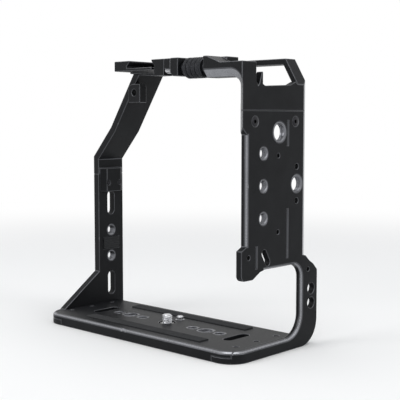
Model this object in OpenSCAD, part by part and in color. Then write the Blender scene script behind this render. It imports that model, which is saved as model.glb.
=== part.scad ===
// Camera cage: a bolted ring of machined aluminium frames around a tall
// camera body. +X is the operator's left, +Y the rear, +Z up. The origin
// is under the middle of the frame, on the surface that the base stands on.

/* [Overall] */
// Width across the two side faces
frame_w = 164; // [158:1:176]
// Height from the underside of the base to the top of the rails
frame_h = 168; // [162:1:176]
// Depth from the front of the base to the back of the battery loop
frame_d = 76; // [74:1:84]
// Depth from the front of the base to the rear of the upper frame
upper_d = 64.5; // [61:0.5:67]

/* [Left side frame] */
// Thickness of the side plate
side_t = 4; // [3:0.5:6]
// Distance of the plate's front edge behind the front of the base
side_inset = 6.6; // [5:0.2:8]
// Depth of the finger recess in the plate's front edge
recess_d = 4; // [2:0.5:6]
// Height of the lower end of the finger recess
recess_low = 64; // [60:1:70]
// Distance of the finger recess's upper end below the seam
recess_drop = 13; // [10:1:28]
// Height of the underside of the cross-piece over the battery door
cross_z = 49.5; // [46:0.5:54]
// Depth of the front boss below the cross-piece
boss_drop = 4.2; // [2:0.2:6]
// Width of the front boss from front to back
boss_w = 12; // [9:0.5:15]
// Width of the battery loop's rear strip
loop_w = 15.5; // [13:0.5:17]
// Radius of the loop's inner lower corner
loop_r = 13; // [8:1:16]
// Radius of the loop's outer lower corner
loop_outer_r = 15; // [10:1:18]
// Distance of the seam with the top frame below the top of the rails
seam_drop = 30; // [26:1:34]

/* [Base plate] */
// Thickness of the base
base_t = 7; // [6:0.5:9]
// Depth of the base from front to rear
base_d = 60; // [53:1:63]
// Radius of the base's front corners
base_front_r = 12; // [8:1:16]
// Distance of the camera screw from the base's rear edge
screw_back = 28.5; // [26:0.5:31]
// Width of each lap joint between the base and a side
lap_w = 16; // [14:1:20]
// Width of the dovetail foot under the base
foot_w = 38; // [36:0.5:42]
// Depth of the grooves that form the dovetail foot
foot_groove = 2.4; // [1.6:0.2:3]

/* [Top frame] */
// Thickness of the rear rail
rail_t = 3.4; // [3:0.2:5]
// Width of the rear rail from front to back
rail_w = 9; // [7:0.5:12]
// Height of the front bar at the post
bar_h = 8.2; // [7:0.2:10]
// Drop of the front bar's top below the rails
bar_drop = 3.8; // [2:0.2:5]
// Depth of the front bar and its post
bar_d = 12; // [10:0.5:16]
// Radius under the front bar where it meets the post
bar_fillet = 5; // [3:0.5:7]
// Sideways run of the left shoulder's slant
shoulder_run = 9; // [7:0.2:12]
// Height over which the left shoulder slants
shoulder_rise = 15; // [12:0.5:18]

/* [Handle clamp] */
// Outer diameter of the thumbwheel
wheel_d = 12; // [10:0.5:14]
// Length of the thumbwheel
wheel_l = 13.5; // [10:0.5:16]
// Distance of the thumbwheel's outer end from the middle
wheel_out_x = 50.5; // [48:0.5:52]
// Gap between the thumbwheel's knurl and each cheek
wheel_gap = 3; // [2:0.5:4]
// Width of the cheek beyond the thumbwheel
cheek_w = 8; // [6:0.5:10]
// Diameter of the clamp screw
clamp_screw_d = 5; // [4:0.5:6]
// Width of the dovetail rail that the clamp takes, at its widest
rail_seat_w = 21.6; // [20:0.2:24]
// How far the jaw moves from open to shut
jaw_travel = 1.6; // [1:0.1:2.4]

/* [Right strap] */
// Width of the strap from front to back
strap_w = 22; // [18:0.5:26]
// Thickness of the strap
strap_t = 5; // [4:0.5:6]
// Distance of the right shoulder's upper bend from the middle
strap_bend_x = 38; // [34:1:44]
// Distance of the seam between the top frame and the strap below the top of the rails
strap_seam_drop = 72; // [66:1:80]

/* [Threads and screws] */
// Major diameter of a 1/4 in thread
quarter_d = 6.35; // [6:0.05:6.6]
// Major diameter of a 3/8 in thread
three_eighths_d = 9.53; // [9:0.01:10]
// Spacing of the accessory threads on the side plate
thread_pitch = 18; // [16:0.5:20]
// Diameter of the joint screws
joint_screw_d = 3; // [2.5:0.5:3.5]

/* [Hidden] */

// Clearances: between fixed pieces that fit each other, and round turning shafts
fit_gap = 0.03;
run_gap = 0.06;
// Free space that a moving piece keeps from its neighbours
move_gap = 0.3;
// How far a cutting shape runs past the surface that it cuts
over = 1;
round_fn = 48;

seam_z = frame_h - seam_drop;
recess_high = seam_z - recess_drop;
near_x = frame_w / 2;
far_x = -near_x;
front_y = -frame_d / 2;
rear_y = frame_d / 2;
base_rear_y = front_y + base_d;
screw_y = base_rear_y - screw_back;
upper_rear_y = front_y + upper_d;
plate_y = front_y + side_inset;
recess_y = plate_y + recess_d;
plate_in_x = near_x - side_t;
loop_y = rear_y - loop_w;
rail_y = upper_rear_y - rail_w;
bar_top = frame_h - bar_drop;
bar_low = bar_top - bar_h;
bar_back_y = plate_y + bar_d;

// Points along an arc in a plane, from one angle to another
function arc(cx, cy, r, from, to, steps = 8) =
    [for (i = [0 : steps]) let (a = from + (to - from) * i / steps) [cx + r * cos(a), cy + r * sin(a)]];
// Unit vector along v, and v turned a quarter turn to the left
function unit(v) = v / norm(v);
function turned(v) = [-v[1], v[0]];
// Normal at point i of a path: the average of its two sides, lengthened so that the wall stays even
function side_normal(pts, i) = let (
    a = turned(unit(pts[min(i, len(pts) - 2) + 1] - pts[min(i, len(pts) - 2)])),
    b = turned(unit(pts[max(i, 1)] - pts[max(i, 1) - 1])))
    (a + b) / (1 + a * b);
// The closed outline of a strip of thickness t to the left of a path
function strip(pts, t) = concat(pts,
    [for (i = [len(pts) - 1 : -1 : 0]) pts[i] + t * side_normal(pts, i)]);

// A profile drawn in Y and Z, from x to x + width
module along_x(x, width) {
    translate([x, 0, 0]) rotate([90, 0, 90]) linear_extrude(width) children();
}
// A profile drawn in X and Z, from y to y + depth
module along_y(y, depth) {
    translate([0, y + depth, 0]) rotate([90, 0, 0]) linear_extrude(depth) children();
}
// A round hole or rod along X, Y or Z, centred on a point
module rod_z(x, y, z, d, l) { translate([x, y, z]) cylinder(h = l, d = d, $fn = round_fn); }
module rod_x(x, y, z, d, l) { translate([x, y, z]) rotate([0, 90, 0]) rod_z(0, 0, 0, d, l); }
module rod_y(x, y, z, d, l) { translate([x, y + l, z]) rotate([90, 0, 0]) rod_z(0, 0, 0, d, l); }
// A slot with round ends, its length along the first axis, cut upwards
module slot(length, width, h) {
    for (s = [-1, 1]) rod_z(s * (length - width) / 2, 0, 0, width, h);
    translate([-(length - width) / 2, -width / 2, 0]) cube([length - width, width, h]);
}

// ---- Frames ----
base_rear_r = 4;
edge_chamfer = 1.4;
front_arc_x = near_x - base_front_r;
front_arc_y = front_y + base_front_r;
boss_z = cross_z - boss_drop;
boss_r = 3;
cross_r = 8;
jog_h = 9.5;
half_lap = base_t / 2;
seam_tongue_t = 3.6;
seam_tongue_h = 12;
seam_tongue_w = 14;
seam_root = 4;
seam_edge = 1;
right_seam_z = frame_h - strap_seam_drop;
strap_y = upper_rear_y - strap_w;
strap_in_x = far_x + strap_t;
foot_y = foot_w / 2;

// Outline of the base from above; its front corners are rounder than its rear ones
module base_plan() {
    rear_l = base_rear_y - front_arc_y;
    for (s = [-1, 1]) {
        translate([s * front_arc_x, front_arc_y]) circle(r = base_front_r, $fn = 2 * round_fn);
        translate([s * (near_x - base_rear_r), base_rear_y - base_rear_r])
            circle(r = base_rear_r, $fn = round_fn);
    }
    translate([-front_arc_x, front_y]) square([2 * front_arc_x, base_d]);
    translate([far_x, front_arc_y]) square([frame_w, rear_l - base_rear_r]);
    translate([far_x + base_rear_r, front_arc_y]) square([frame_w - 2 * base_rear_r, rear_l]);
}

// What a chamfer takes off an edge at the origin, where the metal lies towards -X and -Y
module edge_section() {
    polygon([[-edge_chamfer, over], [-edge_chamfer, 0], [0, -edge_chamfer], [over, -edge_chamfer],
        [over, over]]);
}
// The same carried round a quarter circle about the Z axis, from +X to +Y; an inner one has the metal outside
module edge_arc(r) {
    rotate_extrude(angle = 90, $fn = 2 * round_fn) translate([r, 0]) edge_section();
}
module inner_edge_arc(r) {
    rotate_extrude(angle = 90, $fn = 2 * round_fn) translate([r, 0]) mirror([1, 0]) edge_section();
}

// Chamfer along the base's upper edge: the front, its corners, and the left side up to the loop
module base_chamfer() {
    along_x(-front_arc_x, 2 * front_arc_x) translate([front_y, base_t]) mirror([1, 0]) edge_section();
    for (s = [0, 1]) mirror([s, 0, 0])
        translate([front_arc_x, front_arc_y, base_t]) rotate([0, 0, -90]) edge_arc(base_front_r);
    along_y(front_arc_y, loop_y - loop_r - front_arc_y) translate([near_x, base_t]) edge_section();
}

// Chamfer on the outer edge of the battery opening, from the boss over and down to the base
module opening_chamfer() {
    start_y = plate_y + boss_w + boss_drop + boss_slope;
    along_y(start_y, loop_y - cross_r - start_y) translate([near_x, cross_z]) mirror([0, 1]) edge_section();
    translate([near_x, loop_y, base_t + loop_r]) linear_extrude(cross_z - cross_r - base_t - loop_r)
        mirror([0, 1]) edge_section();
    translate([near_x, 0, 0]) rotate([90, 0, 90]) {
        translate([loop_y - cross_r, cross_z - cross_r, 0]) inner_edge_arc(cross_r);
        translate([loop_y - loop_r, base_t + loop_r, 0]) rotate([0, 0, -90]) inner_edge_arc(loop_r);
    }
}

// Chamfer in the finger recess, and the broad one up the rear edge of the plate
rear_chamfer_w = 3.4;
rear_chamfer_t = 1.6;
module plate_chamfers() {
    translate([near_x, recess_y, recess_low]) linear_extrude(recess_high - recess_low)
        mirror([0, 1]) edge_section();
    translate([near_x, upper_rear_y, cross_z - jog_drop + jog_h])
        linear_extrude(shoulder_z + rear_chamfer_w - cross_z + jog_drop - jog_h)
            polygon([[-rear_chamfer_t, over], [-rear_chamfer_t, 0], [0, -rear_chamfer_w],
                [over, -rear_chamfer_w], [over, over]]);
}

// The stretch of the base between two values of X
module base_slice(x, width, z, h) {
    intersection() {
        translate([0, 0, z]) linear_extrude(h) base_plan();
        translate([x, front_y - over, z - over]) cube([width, frame_d + 2 * over, h + 2 * over]);
    }
}

// Screws of the two lap joints, under each end of the base
lap_screw_front = 14;
lap_screw_rear = 10;
lap_screw_gap = 0.5;
lap_screw_y = [front_y + lap_screw_front, screw_y, base_rear_y - lap_screw_rear];
lap_screw_x = near_x - side_t - (lap_w - side_t) / 2;
// Screws of the upper seams: their distance from the edges, and [y, z] of each
left_screw_edge = 11;
right_screw_edge = 6;
left_seam_screws = [[plate_y + left_screw_edge, seam_z - seam_tongue_h / 2],
    [upper_rear_y - left_screw_edge, seam_z - seam_tongue_h / 2]];
right_seam_screws = [[strap_y + right_screw_edge, right_seam_z - seam_tongue_h / 2],
    [upper_rear_y - right_screw_edge, right_seam_z - seam_tongue_h / 2]];
joint_head_d = joint_screw_d * 1.87;
joint_head_h = joint_screw_d * 0.57;

// A countersunk screw with its head's face at the origin and its tip towards +Z
module csk_screw(d, length, head_d, head_h) {
    difference() {
        union() {
            cylinder(h = head_h, d1 = head_d, d2 = d, $fn = round_fn);
            translate([0, 0, head_h]) cylinder(h = length - head_h, d = d, $fn = round_fn);
        }
        translate([0, 0, -over]) cylinder(h = head_h * 0.7 + over, d = d * 0.72, $fn = 6);
    }
}
// The hole for it, with its mouth at the origin
module csk_hole(d, depth, head_d, head_h) {
    translate([0, 0, -over]) cylinder(h = over, d = head_d + 2 * fit_gap, $fn = round_fn);
    cylinder(h = head_h, d1 = head_d + 2 * fit_gap, d2 = d + 2 * fit_gap, $fn = round_fn);
    translate([0, 0, head_h - fit_gap]) cylinder(h = depth - head_h, d = d + 2 * fit_gap, $fn = round_fn);
}
module joint_screw(length) { csk_screw(joint_screw_d, length, joint_head_d, joint_head_h); }
module joint_hole(depth) { csk_hole(joint_screw_d, depth, joint_head_d, joint_head_h); }

// Places for the screws and their holes
module at_left_seam() {
    for (p = left_seam_screws) translate([near_x, p[0], p[1]]) rotate([0, -90, 0]) children();
}
module at_right_seam() {
    for (p = right_seam_screws) translate([far_x, p[0], p[1]]) rotate([0, 90, 0]) children();
}
module at_laps(s) { for (y = lap_screw_y) translate([s * lap_screw_x, y, 0]) children(); }

// Steel dowels that line up each lap joint, between its screws
dowel_d = 2.5;
dowel_l = 5;
dowel_y = [(lap_screw_y[0] + lap_screw_y[1]) / 2, (lap_screw_y[1] + lap_screw_y[2]) / 2];
dowel_z = half_lap - dowel_l / 2;
module dowels(extra) {
    for (s = [-1, 1], y = dowel_y)
        rod_z(s * lap_screw_x, y, dowel_z - extra, dowel_d + 2 * extra, dowel_l + 2 * extra);
}

// Half of the base's lap joint: the lower half is the side's, the upper half the base's
module side_leg() {
    difference() {
        base_slice(near_x - lap_w, lap_w, 0, base_t);
        translate([near_x - lap_w - over, front_y - over, half_lap])
            cube([lap_w - side_t + over, frame_d + 2 * over, base_t]);
    }
}

// The front and rear edges of the side plate down to the loop, drawn in Y and Z
boss_slope = 3;
boss_step = 0.5;
jog_run = 4;
jog_drop = 5;
jog_step = 1;
module side_outline() {
    boss_rear_y = plate_y + boss_w + boss_drop;
    polygon(concat(
        [[plate_y, seam_z], [plate_y, recess_high + recess_d], [recess_y, recess_high],
            [recess_y, recess_low], [plate_y, recess_low - recess_d / 2]],
        arc(plate_y + boss_r, boss_z + boss_r, boss_r, 180, 270),
        arc(plate_y + boss_w - boss_r, boss_z + boss_r, boss_r, 270, 310, 3),
        [[boss_rear_y, cross_z - boss_step], [boss_rear_y + boss_slope, cross_z], [loop_y, cross_z],
            [loop_y, base_t], [front_arc_y, base_t], [front_arc_y, 0], [rear_y - loop_outer_r, 0],
            [rear_y, loop_outer_r], [rear_y, cross_z - jog_drop], [rear_y - jog_run, cross_z - jog_step],
            [upper_rear_y + jog_run, cross_z + jog_step],
            [upper_rear_y, cross_z - jog_drop + jog_h], [upper_rear_y, seam_z]]));
    opening_fillet(cross_r, cross_z, -1);
    opening_fillet(loop_r, base_t, 1);
    intersection() {
        translate([rear_y - loop_outer_r, loop_outer_r]) circle(r = loop_outer_r, $fn = 2 * round_fn);
        translate([rear_y - loop_outer_r, 0]) square(loop_outer_r);
    }
}
// Fillet in a rear corner of the battery opening, at height z; up is 1 where the opening lies above it
module opening_fillet(r, z, up) {
    difference() {
        translate([loop_y - r, up > 0 ? z : z - r]) square(r);
        translate([loop_y - r, z + up * r]) circle(r = r, $fn = 2 * round_fn);
    }
}

// Accessory threads, locating pattern and plain holes in the side plate
thread_back = 25;
location_back = 55;
thread_rise = 2;
thread_y = front_y + thread_back;
location_y = front_y + location_back;
mid_z = (recess_low + recess_high) / 2 + thread_rise;
insert_wall = 0.6;
quarter_bore = 5.2;
three_eighths_bore = 8;
locating_d = 3.2;
locating_gap = 9.8;
loop_hole_d = 6.6;
loop_hole_gap = 8.6;
loop_hole_edge = 6;
loop_hole_rise = 22.4;
loop_hole_y = rear_y - loop_hole_edge;
loop_hole_z = base_t + loop_hole_rise;
small_thread_d = 2.5;
small_thread_back = 38;
small_thread_rise = 6;
thread_z = [for (i = [-1 : 1]) mid_z + i * thread_pitch];
small_threads = [[front_y + small_thread_back, recess_low + small_thread_rise],
    [front_y + small_thread_back, recess_high - 2 * small_thread_rise],
    [plate_y + boss_w / 2, recess_low - small_thread_rise],
    [loop_hole_y - small_thread_rise / 2, cross_z - 2 * small_thread_rise / 3]];
tie_slot_l = 10;
tie_slot_w = 4;
tie_turn = 30;
tie_back = 27.5;
tie_rise = 7;
tie_y = front_y + tie_back;
tie_z = cross_z + tie_rise;
groove_w = 1.4;
groove_depth = 0.8;
groove_back = 46;
groove_end = 5;
groove_low_l = 28;
groove_high_l = 14;
boss_groove_l = 12;

module side_holes() {
    hole_x = plate_in_x - over;
    hole_l = side_t + 2 * over;
    for (z = thread_z) rod_x(hole_x, thread_y, z, quarter_d + 2 * insert_wall, hole_l);
    rod_x(hole_x, location_y, mid_z, three_eighths_d + 2 * insert_wall, hole_l);
    for (s = [-1, 1]) rod_x(hole_x, location_y, mid_z + s * locating_gap, locating_d, hole_l);
    for (s = [-1, 1]) rod_x(hole_x, loop_hole_y, loop_hole_z + s * loop_hole_gap / 2, loop_hole_d, hole_l);
    for (p = small_threads) rod_x(hole_x, p[0], p[1], small_thread_d, hole_l);
    translate([hole_x, tie_y, tie_z]) rotate([0, 90, 0]) rotate([0, 0, tie_turn])
        slot(tie_slot_l, tie_slot_w, hole_l);
}

// Shallow grooves that mark off the rear strip and the boss on the outer face
module side_groove(y, z, h) {
    translate([near_x - groove_depth, y, z]) cube([groove_depth + over, groove_w, h]);
}
module side_grooves() {
    side_groove(front_y + groove_back, cross_z + groove_end, groove_low_l);
    side_groove(front_y + groove_back, thread_z[2] + groove_end - 1, groove_high_l);
    side_groove(plate_y + boss_w, boss_z + groove_end + 1, boss_groove_l);
}

module left_side_frame() {
    color("#1d1e20") difference() {
        union() {
            along_x(plate_in_x, side_t) side_outline();
            side_leg();
        }
        side_holes();
        side_grooves();
        front_chamfer();
        base_chamfer();
        opening_chamfer();
        plate_chamfers();
        side_pad_recess();
        at_left_seam() joint_hole(side_t + over);
        at_laps(1) joint_hole(base_t);
        dowels(fit_gap);
        strap_bushing_hole();
    }
}

module right_strap() {
    color("#1d1e20") difference() {
        union() {
            translate([far_x, strap_y, 0]) cube([strap_t, strap_w, right_seam_z]);
            mirror([1, 0, 0]) side_leg();
            right_gusset();
        }
        at_right_seam() joint_hole(strap_t + over);
        at_laps(-1) joint_hole(base_t);
        dowels(fit_gap);
        base_chamfer();
        strap_holes();
        strap_pad_recess();
    }
}

// Triangular web that stiffens the foot of the strap
gusset_rise = 22;
module right_gusset() {
    along_x(far_x, strap_t)
        polygon([[front_arc_y, 0], [front_arc_y, base_t],
            [strap_y, base_t + gusset_rise], [strap_y + over, base_t + gusset_rise], [strap_y + over, 0]]);
}

strap_thread_z = [right_seam_z / 2 - thread_pitch / 2, right_seam_z / 2 + thread_pitch / 2];
strap_mid_y = strap_y + strap_w / 2;
strap_slot_l = 16;
strap_slot_w = 6;
strap_slot_gap = 19;
module strap_holes() {
    for (z = strap_thread_z)
        rod_x(far_x - over, strap_mid_y, z, quarter_d + 2 * insert_wall, strap_t + 2 * over);
    for (z = [strap_thread_z[0] - strap_slot_gap, strap_thread_z[1] + strap_slot_gap])
        translate([far_x - over, strap_mid_y, z]) rotate([0, 90, 0])
            slot(strap_slot_l, strap_slot_w, strap_t + 2 * over);
}

// ---- Base plate ----
pocket_d = 18;
pocket_h = 3.6;
clip_pocket_d = 10.4;
clip_pocket_h = 1.4;
base_thread_x = [22, 44];
base_location_x = 33;
window_x = 57;
window_l = 20;
window_w = 6;
foot_groove_w = 4;
pin_d = 4.4;
pin_shank_d = 5.6;
pin_back = 11.5;
pin_y = screw_y + pin_back;
pin_h = 2.2;
pin_chamfer = 0.6;
pad_t = 1.6;
pad_sink = 0.8;
base_pad_l = 100;
base_pad_w = 8;
base_pad_run = 20;
base_pad_y = [screw_y - base_pad_run, screw_y + base_pad_run];

// The groove on one side of the dovetail foot: it undercuts the foot at 45 degrees
module foot_groove_outline() {
    polygon([[foot_y, -over], [foot_y, 0], [foot_y - foot_groove, foot_groove],
        [foot_y + foot_groove_w, foot_groove], [foot_y + foot_groove_w, -over]]);
}

module base_plate() {
    mid_w = frame_w - 2 * lap_w;
    color("#1d1e20") difference() {
        union() {
            base_slice(-mid_w / 2, mid_w, 0, base_t);
            base_slice(far_x + strap_t, frame_w - side_t - strap_t, half_lap, base_t - half_lap);
        }
        for (s = [0, 1]) translate([0, screw_y, 0]) mirror([0, s, 0])
            along_x(-mid_w / 2 + foot_groove_w, mid_w - 2 * foot_groove_w) foot_groove_outline();
        for (s = [-1, 1]) {
            translate([s * lap_screw_x, 0, 0]) for (y = lap_screw_y)
                rod_z(0, y, half_lap - over, joint_screw_d + 2 * fit_gap, base_t);
            for (x = base_thread_x)
                rod_z(s * x, screw_y, -over, quarter_d + 2 * insert_wall, base_t + 2 * over);
            rod_z(s * base_location_x, screw_y, -over, three_eighths_d + 2 * insert_wall,
                base_t + 2 * over);
            translate([s * window_x, screw_y, -over]) rotate([0, 0, 90])
                slot(window_l, window_w, base_t + 2 * over);
        }
        dowels(fit_gap);
        base_chamfer();
        rod_z(0, screw_y, -over, pocket_d, pocket_h + over);
        rod_z(0, screw_y, 0, quarter_d + 2 * run_gap, base_t);
        rod_z(0, screw_y, base_t - clip_pocket_h, clip_pocket_d, clip_pocket_h + over);
        rod_z(0, pin_y, half_lap, pin_shank_d + 2 * fit_gap, base_t);
        for (y = base_pad_y) translate([-base_pad_l / 2, y - base_pad_w / 2, base_t - pad_sink])
            cube([base_pad_l, base_pad_w, pad_t]);
    }
}

module base_pads() {
    color("#26272a") for (y = base_pad_y)
        translate([-base_pad_l / 2 + fit_gap, y - base_pad_w / 2 + fit_gap, base_t - pad_sink])
            cube([base_pad_l - 2 * fit_gap, base_pad_w - 2 * fit_gap, pad_t]);
}

module camera_locating_pin() {
    color("silver") translate([0, pin_y, half_lap]) {
        cylinder(h = base_t - half_lap, d = pin_shank_d, $fn = round_fn);
        translate([0, 0, base_t - half_lap - over])
            cylinder(h = over + pin_h - pin_chamfer, d = pin_d, $fn = round_fn);
        translate([0, 0, base_t - half_lap + pin_h - pin_chamfer])
            cylinder(h = pin_chamfer, d1 = pin_d, d2 = pin_d - 2 * pin_chamfer, $fn = round_fn);
    }
}

// Screw that holds the camera, its clip and its folding ring
screw_head_d = 13;
screw_head_z = pocket_h - move_gap;
screw_head_h = 1.2;
screw_reach = 5;
screw_chamfer = 0.8;
clip_t = 0.7;
clip_z = base_t - clip_pocket_h + move_gap;
clip_neck_d = 5.2;
clip_d = 9;
ring_wire = 1.4;
ring_r = 6;
ring_hinge_back = 3;
ring_hinge_y = screw_y - ring_hinge_back;
lug_w = 6;
lug_d = 3.2;
lug_low = 0.1;
ring_hinge_z = (screw_head_z - screw_head_h) / 2 + lug_low;

module camera_screw() {
    shaft_h = base_t + screw_reach - screw_chamfer;
    color("silver") difference() {
        union() {
            rod_z(0, screw_y, screw_head_z - screw_head_h, screw_head_d, screw_head_h);
            rod_z(0, screw_y, screw_head_z - over / 2, quarter_d, shaft_h - screw_head_z + over / 2);
            translate([0, screw_y, shaft_h])
                cylinder(h = screw_chamfer, d1 = quarter_d, d2 = quarter_d - 2 * screw_chamfer,
                    $fn = round_fn);
            translate([-lug_w / 2, ring_hinge_y - lug_d / 2, lug_low])
                cube([lug_w, lug_d, screw_head_z - screw_head_h - lug_low + over / 2]);
        }
        rod_x(-lug_w, ring_hinge_y, ring_hinge_z, ring_wire + 2 * run_gap, 2 * lug_w);
        difference() {
            rod_z(0, screw_y, clip_z - fit_gap, quarter_d + over, clip_t + 2 * fit_gap);
            rod_z(0, screw_y, clip_z - over, clip_neck_d, clip_t + 2 * over);
        }
    }
}

module camera_screw_clip() {
    color("#3a3c40") difference() {
        rod_z(0, screw_y, clip_z, clip_d, clip_t);
        rod_z(0, screw_y, clip_z - over, clip_neck_d + 2 * fit_gap, clip_t + 2 * over);
        translate([-clip_neck_d / 3, screw_y, clip_z - over])
            cube([2 * clip_neck_d / 3, clip_d, clip_t + 2 * over]);
    }
}

// A ring of round wire shaped like a D; its straight side turns in the screw's lug
module d_ring() {
    side = screw_y - ring_hinge_y;
    color("silver") translate([0, 0, ring_hinge_z]) {
        translate([0, screw_y, 0]) rotate_extrude(angle = 180, $fn = 64)
            translate([ring_r, 0]) circle(d = ring_wire, $fn = 24);
        for (s = [-1, 1]) {
            rod_y(s * ring_r, ring_hinge_y, 0, ring_wire, side);
            translate([s * ring_r, ring_hinge_y, 0]) sphere(d = ring_wire, $fn = 24);
        }
        rod_x(-ring_r, ring_hinge_y, 0, ring_wire, 2 * ring_r);
    }
}

// ---- Top frame ----
shoulder_z = frame_h - shoulder_rise;
gap_wall = 13.5;
gap_z = seam_z + gap_wall;
hook_h = 7.5;
hook_gap = 2.5;
hook_y = bar_back_y + hook_gap;
hook_w = 3.2;
hook_step = 1;
hook_ramp = 7;
right_mid_run = 18;
right_mid_drop = 40;
right_low_rise = 12;
right_mid = [far_x + right_mid_run, frame_h - right_mid_drop];
right_low_z = right_seam_z + right_low_rise;
cheek_near_x = wheel_out_x + wheel_gap;
cheek_far_x = wheel_out_x - wheel_l - wheel_gap;
cheek_end_x = cheek_far_x - cheek_w;
cheek_chamfer = 2;
cheek_h = 10.4;
cheek_low = frame_h - cheek_h;
cheek_slant = 4;
bridge_h = 9.5;
bridge_low = frame_h - bridge_h;
cheek_flat = 2.5;
cheek_root = 7;
ramp_l = 16;
bar_chamfer_h = 4.6;
bar_chamfer_d = 3.4;
wheel_y = plate_y + wheel_d / 2;
wheel_z = frame_h - wheel_d / 2;
bridge_d = 10;
seat_lip = 2.2;
seat_step = 1.2;
seat_l = 26;
seat_wall = 3;
seat_y = plate_y + cheek_chamfer;
seat_back_y = seat_y + seat_l;
seat_side = 11;
seat_out_x = -rail_seat_w / 2 - seat_side;
plate_h = 6;
plate_low = frame_h - plate_h;
plate_inset = 2;
plate_x = strap_bend_x - plate_inset;
strap_root = 4;
jaw_w = 8.2;
jaw_l = 20;
jaw_x = rail_seat_w / 2 + jaw_travel;
jaw_y = seat_y + move_gap;
seat_floor_t = 1.6;
seat_floor = plate_low + seat_floor_t;
jaw_gap = 0.2;
jaw_low = seat_floor + jaw_gap;
jaw_wall = 1.2;
jaw_boss_w = clamp_screw_d + 2 * jaw_wall;
jaw_boss_low = wheel_z - jaw_boss_w / 2;
pin_reach = 8;
pin_socket = 2;
guide_d = 2;
guide_first = 2.8;
guide_run = 4.4;
guide_y = [bar_back_y + guide_first, bar_back_y + guide_first + guide_run];
guide_z = (jaw_low + frame_h) / 2;

// The left side of the top frame, drawn in Y and Z: post, cable hook, cross wall and rear post
module top_side_outline() {
    hook_back_y = hook_y + hook_w;
    polygon([[plate_y, seam_z], [upper_rear_y, seam_z], [upper_rear_y, shoulder_z], [rail_y, shoulder_z],
        [rail_y - 2 * hook_step, gap_z + 3 * hook_step], [rail_y - hook_ramp, gap_z + hook_step],
        [hook_back_y + 2 * hook_step, gap_z], [hook_back_y, gap_z + hook_step],
        [hook_back_y, gap_z + hook_h], [hook_back_y - hook_step, gap_z + hook_h],
        [hook_y, gap_z + hook_step], [hook_y - hook_step, gap_z], [bar_back_y, gap_z + hook_gap],
        [bar_back_y, bar_top], [plate_y, bar_top]]);
}

// The front bar and its post, drawn in X and Z, from the left side face to the thumbwheel's cheek
module front_bar_outline() {
    polygon(concat(
        [[near_x, seam_z], [near_x, bar_top], [near_x - ramp_l, bar_top],
            [cheek_near_x + cheek_flat, frame_h], [cheek_near_x, frame_h], [cheek_near_x, bar_low]],
        arc(plate_in_x - bar_fillet, bar_low - bar_fillet, bar_fillet, 90, 0),
        [[plate_in_x, seam_z]]));
}

// Chamfer on the inner edge of the front: under the bar, round its fillet and down the post.
// Its section is drawn as [distance from the fillet's axis, y].
fillet_x = plate_in_x - bar_fillet;
fillet_z = bar_low - bar_fillet;
chamfer_section = [[bar_fillet - over, plate_y - over], [bar_fillet + bar_chamfer_h, plate_y - over],
    [bar_fillet + bar_chamfer_h, plate_y], [bar_fillet, plate_y + bar_chamfer_d],
    [bar_fillet - over, plate_y + bar_chamfer_d]];
module front_chamfer() {
    along_x(cheek_near_x - over, fillet_x - cheek_near_x + over)
        polygon([for (p = chamfer_section) [p[1], fillet_z + p[0]]]);
    translate([fillet_x, 0, fillet_z]) rotate([90, 0, 0]) rotate_extrude(angle = 90, $fn = round_fn)
        polygon([for (p = chamfer_section) [p[0], -p[1]]]);
    translate([fillet_x, 0, recess_high]) linear_extrude(fillet_z - recess_high) polygon(chamfer_section);
}

// The seat that takes a dovetail rail from above or from the front, drawn in X and Z
module seat_outline() {
    polygon([[-rail_seat_w / 2, seat_floor], [-rail_seat_w / 2, seat_floor + seat_step],
        [-rail_seat_w / 2 + seat_lip, seat_floor + seat_step + seat_lip],
        [-rail_seat_w / 2 + seat_lip, frame_h + over], [jaw_x, frame_h + over], [jaw_x, seat_floor]]);
}

// The seat's front cheek beside the wheel: its far end slants below the plate, and its edges are chamfered
module far_cheek() {
    c = cheek_chamfer;
    intersection() {
        along_y(plate_y, bar_d) polygon([[cheek_end_x, plate_low], [cheek_end_x, frame_h - c],
            [cheek_end_x + c, frame_h], [cheek_far_x, frame_h], [cheek_far_x, cheek_low],
            [cheek_end_x + cheek_slant, cheek_low]]);
        translate([0, 0, cheek_low]) linear_extrude(cheek_h) polygon([[cheek_end_x, plate_y + c],
            [cheek_end_x + c, plate_y], [cheek_far_x, plate_y], [cheek_far_x, bar_back_y],
            [cheek_end_x, bar_back_y]]);
    }
}

// Tongues behind the side walls, which the seam screws hold; their ends slant towards the walls.
// Each hangs from a root that is one with the wall above the seam.
module seam_tongue(x, y, z, w, turn) {
    translate([x, y, z]) rotate([0, 0, turn]) {
        linear_extrude(seam_tongue_h + seam_root)
            polygon([[0, -w / 2], [seam_tongue_t, seam_tongue_t - w / 2],
                [seam_tongue_t, w / 2 - seam_tongue_t], [0, w / 2]]);
        translate([-over, seam_tongue_t - w / 2, seam_tongue_h])
            cube([over + seam_tongue_t, w - 2 * seam_tongue_t, seam_root]);
    }
}
module seam_tongues() {
    for (p = left_seam_screws)
        seam_tongue(plate_in_x, p[0], seam_z - seam_tongue_h, seam_tongue_w, 180);
    seam_tongue(strap_in_x, strap_mid_y, right_seam_z - seam_tongue_h, strap_w - 2 * seam_edge, 0);
}

shoe_x = -16;
shoe_w = 21;
shoe_l = 20;
shoe_h = 4;
shoe_y = upper_rear_y - shoe_l;
top_thread_x = [thread_pitch / 2, 3 * thread_pitch / 2];
top_thread_edge = 8;
top_thread_y = upper_rear_y - top_thread_edge;
top_window_l = 22;
top_window_w = 6;
top_window_x = 18;
top_window_gap = 0.4;
window_y = seat_back_y + seat_wall + top_window_w / 2 + top_window_gap;
ear_w = 11;
ear_h = 12;
ear_d = 6;
ear_r = 4;
ear_step = 1.5;
ear_hole = 4.2;
ear_hole_rise = 6.5;
ear_side = 7;
ear_drop = 24;
ear_x = -strap_bend_x - ear_side;
ear_z = frame_h - ear_drop;

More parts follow.
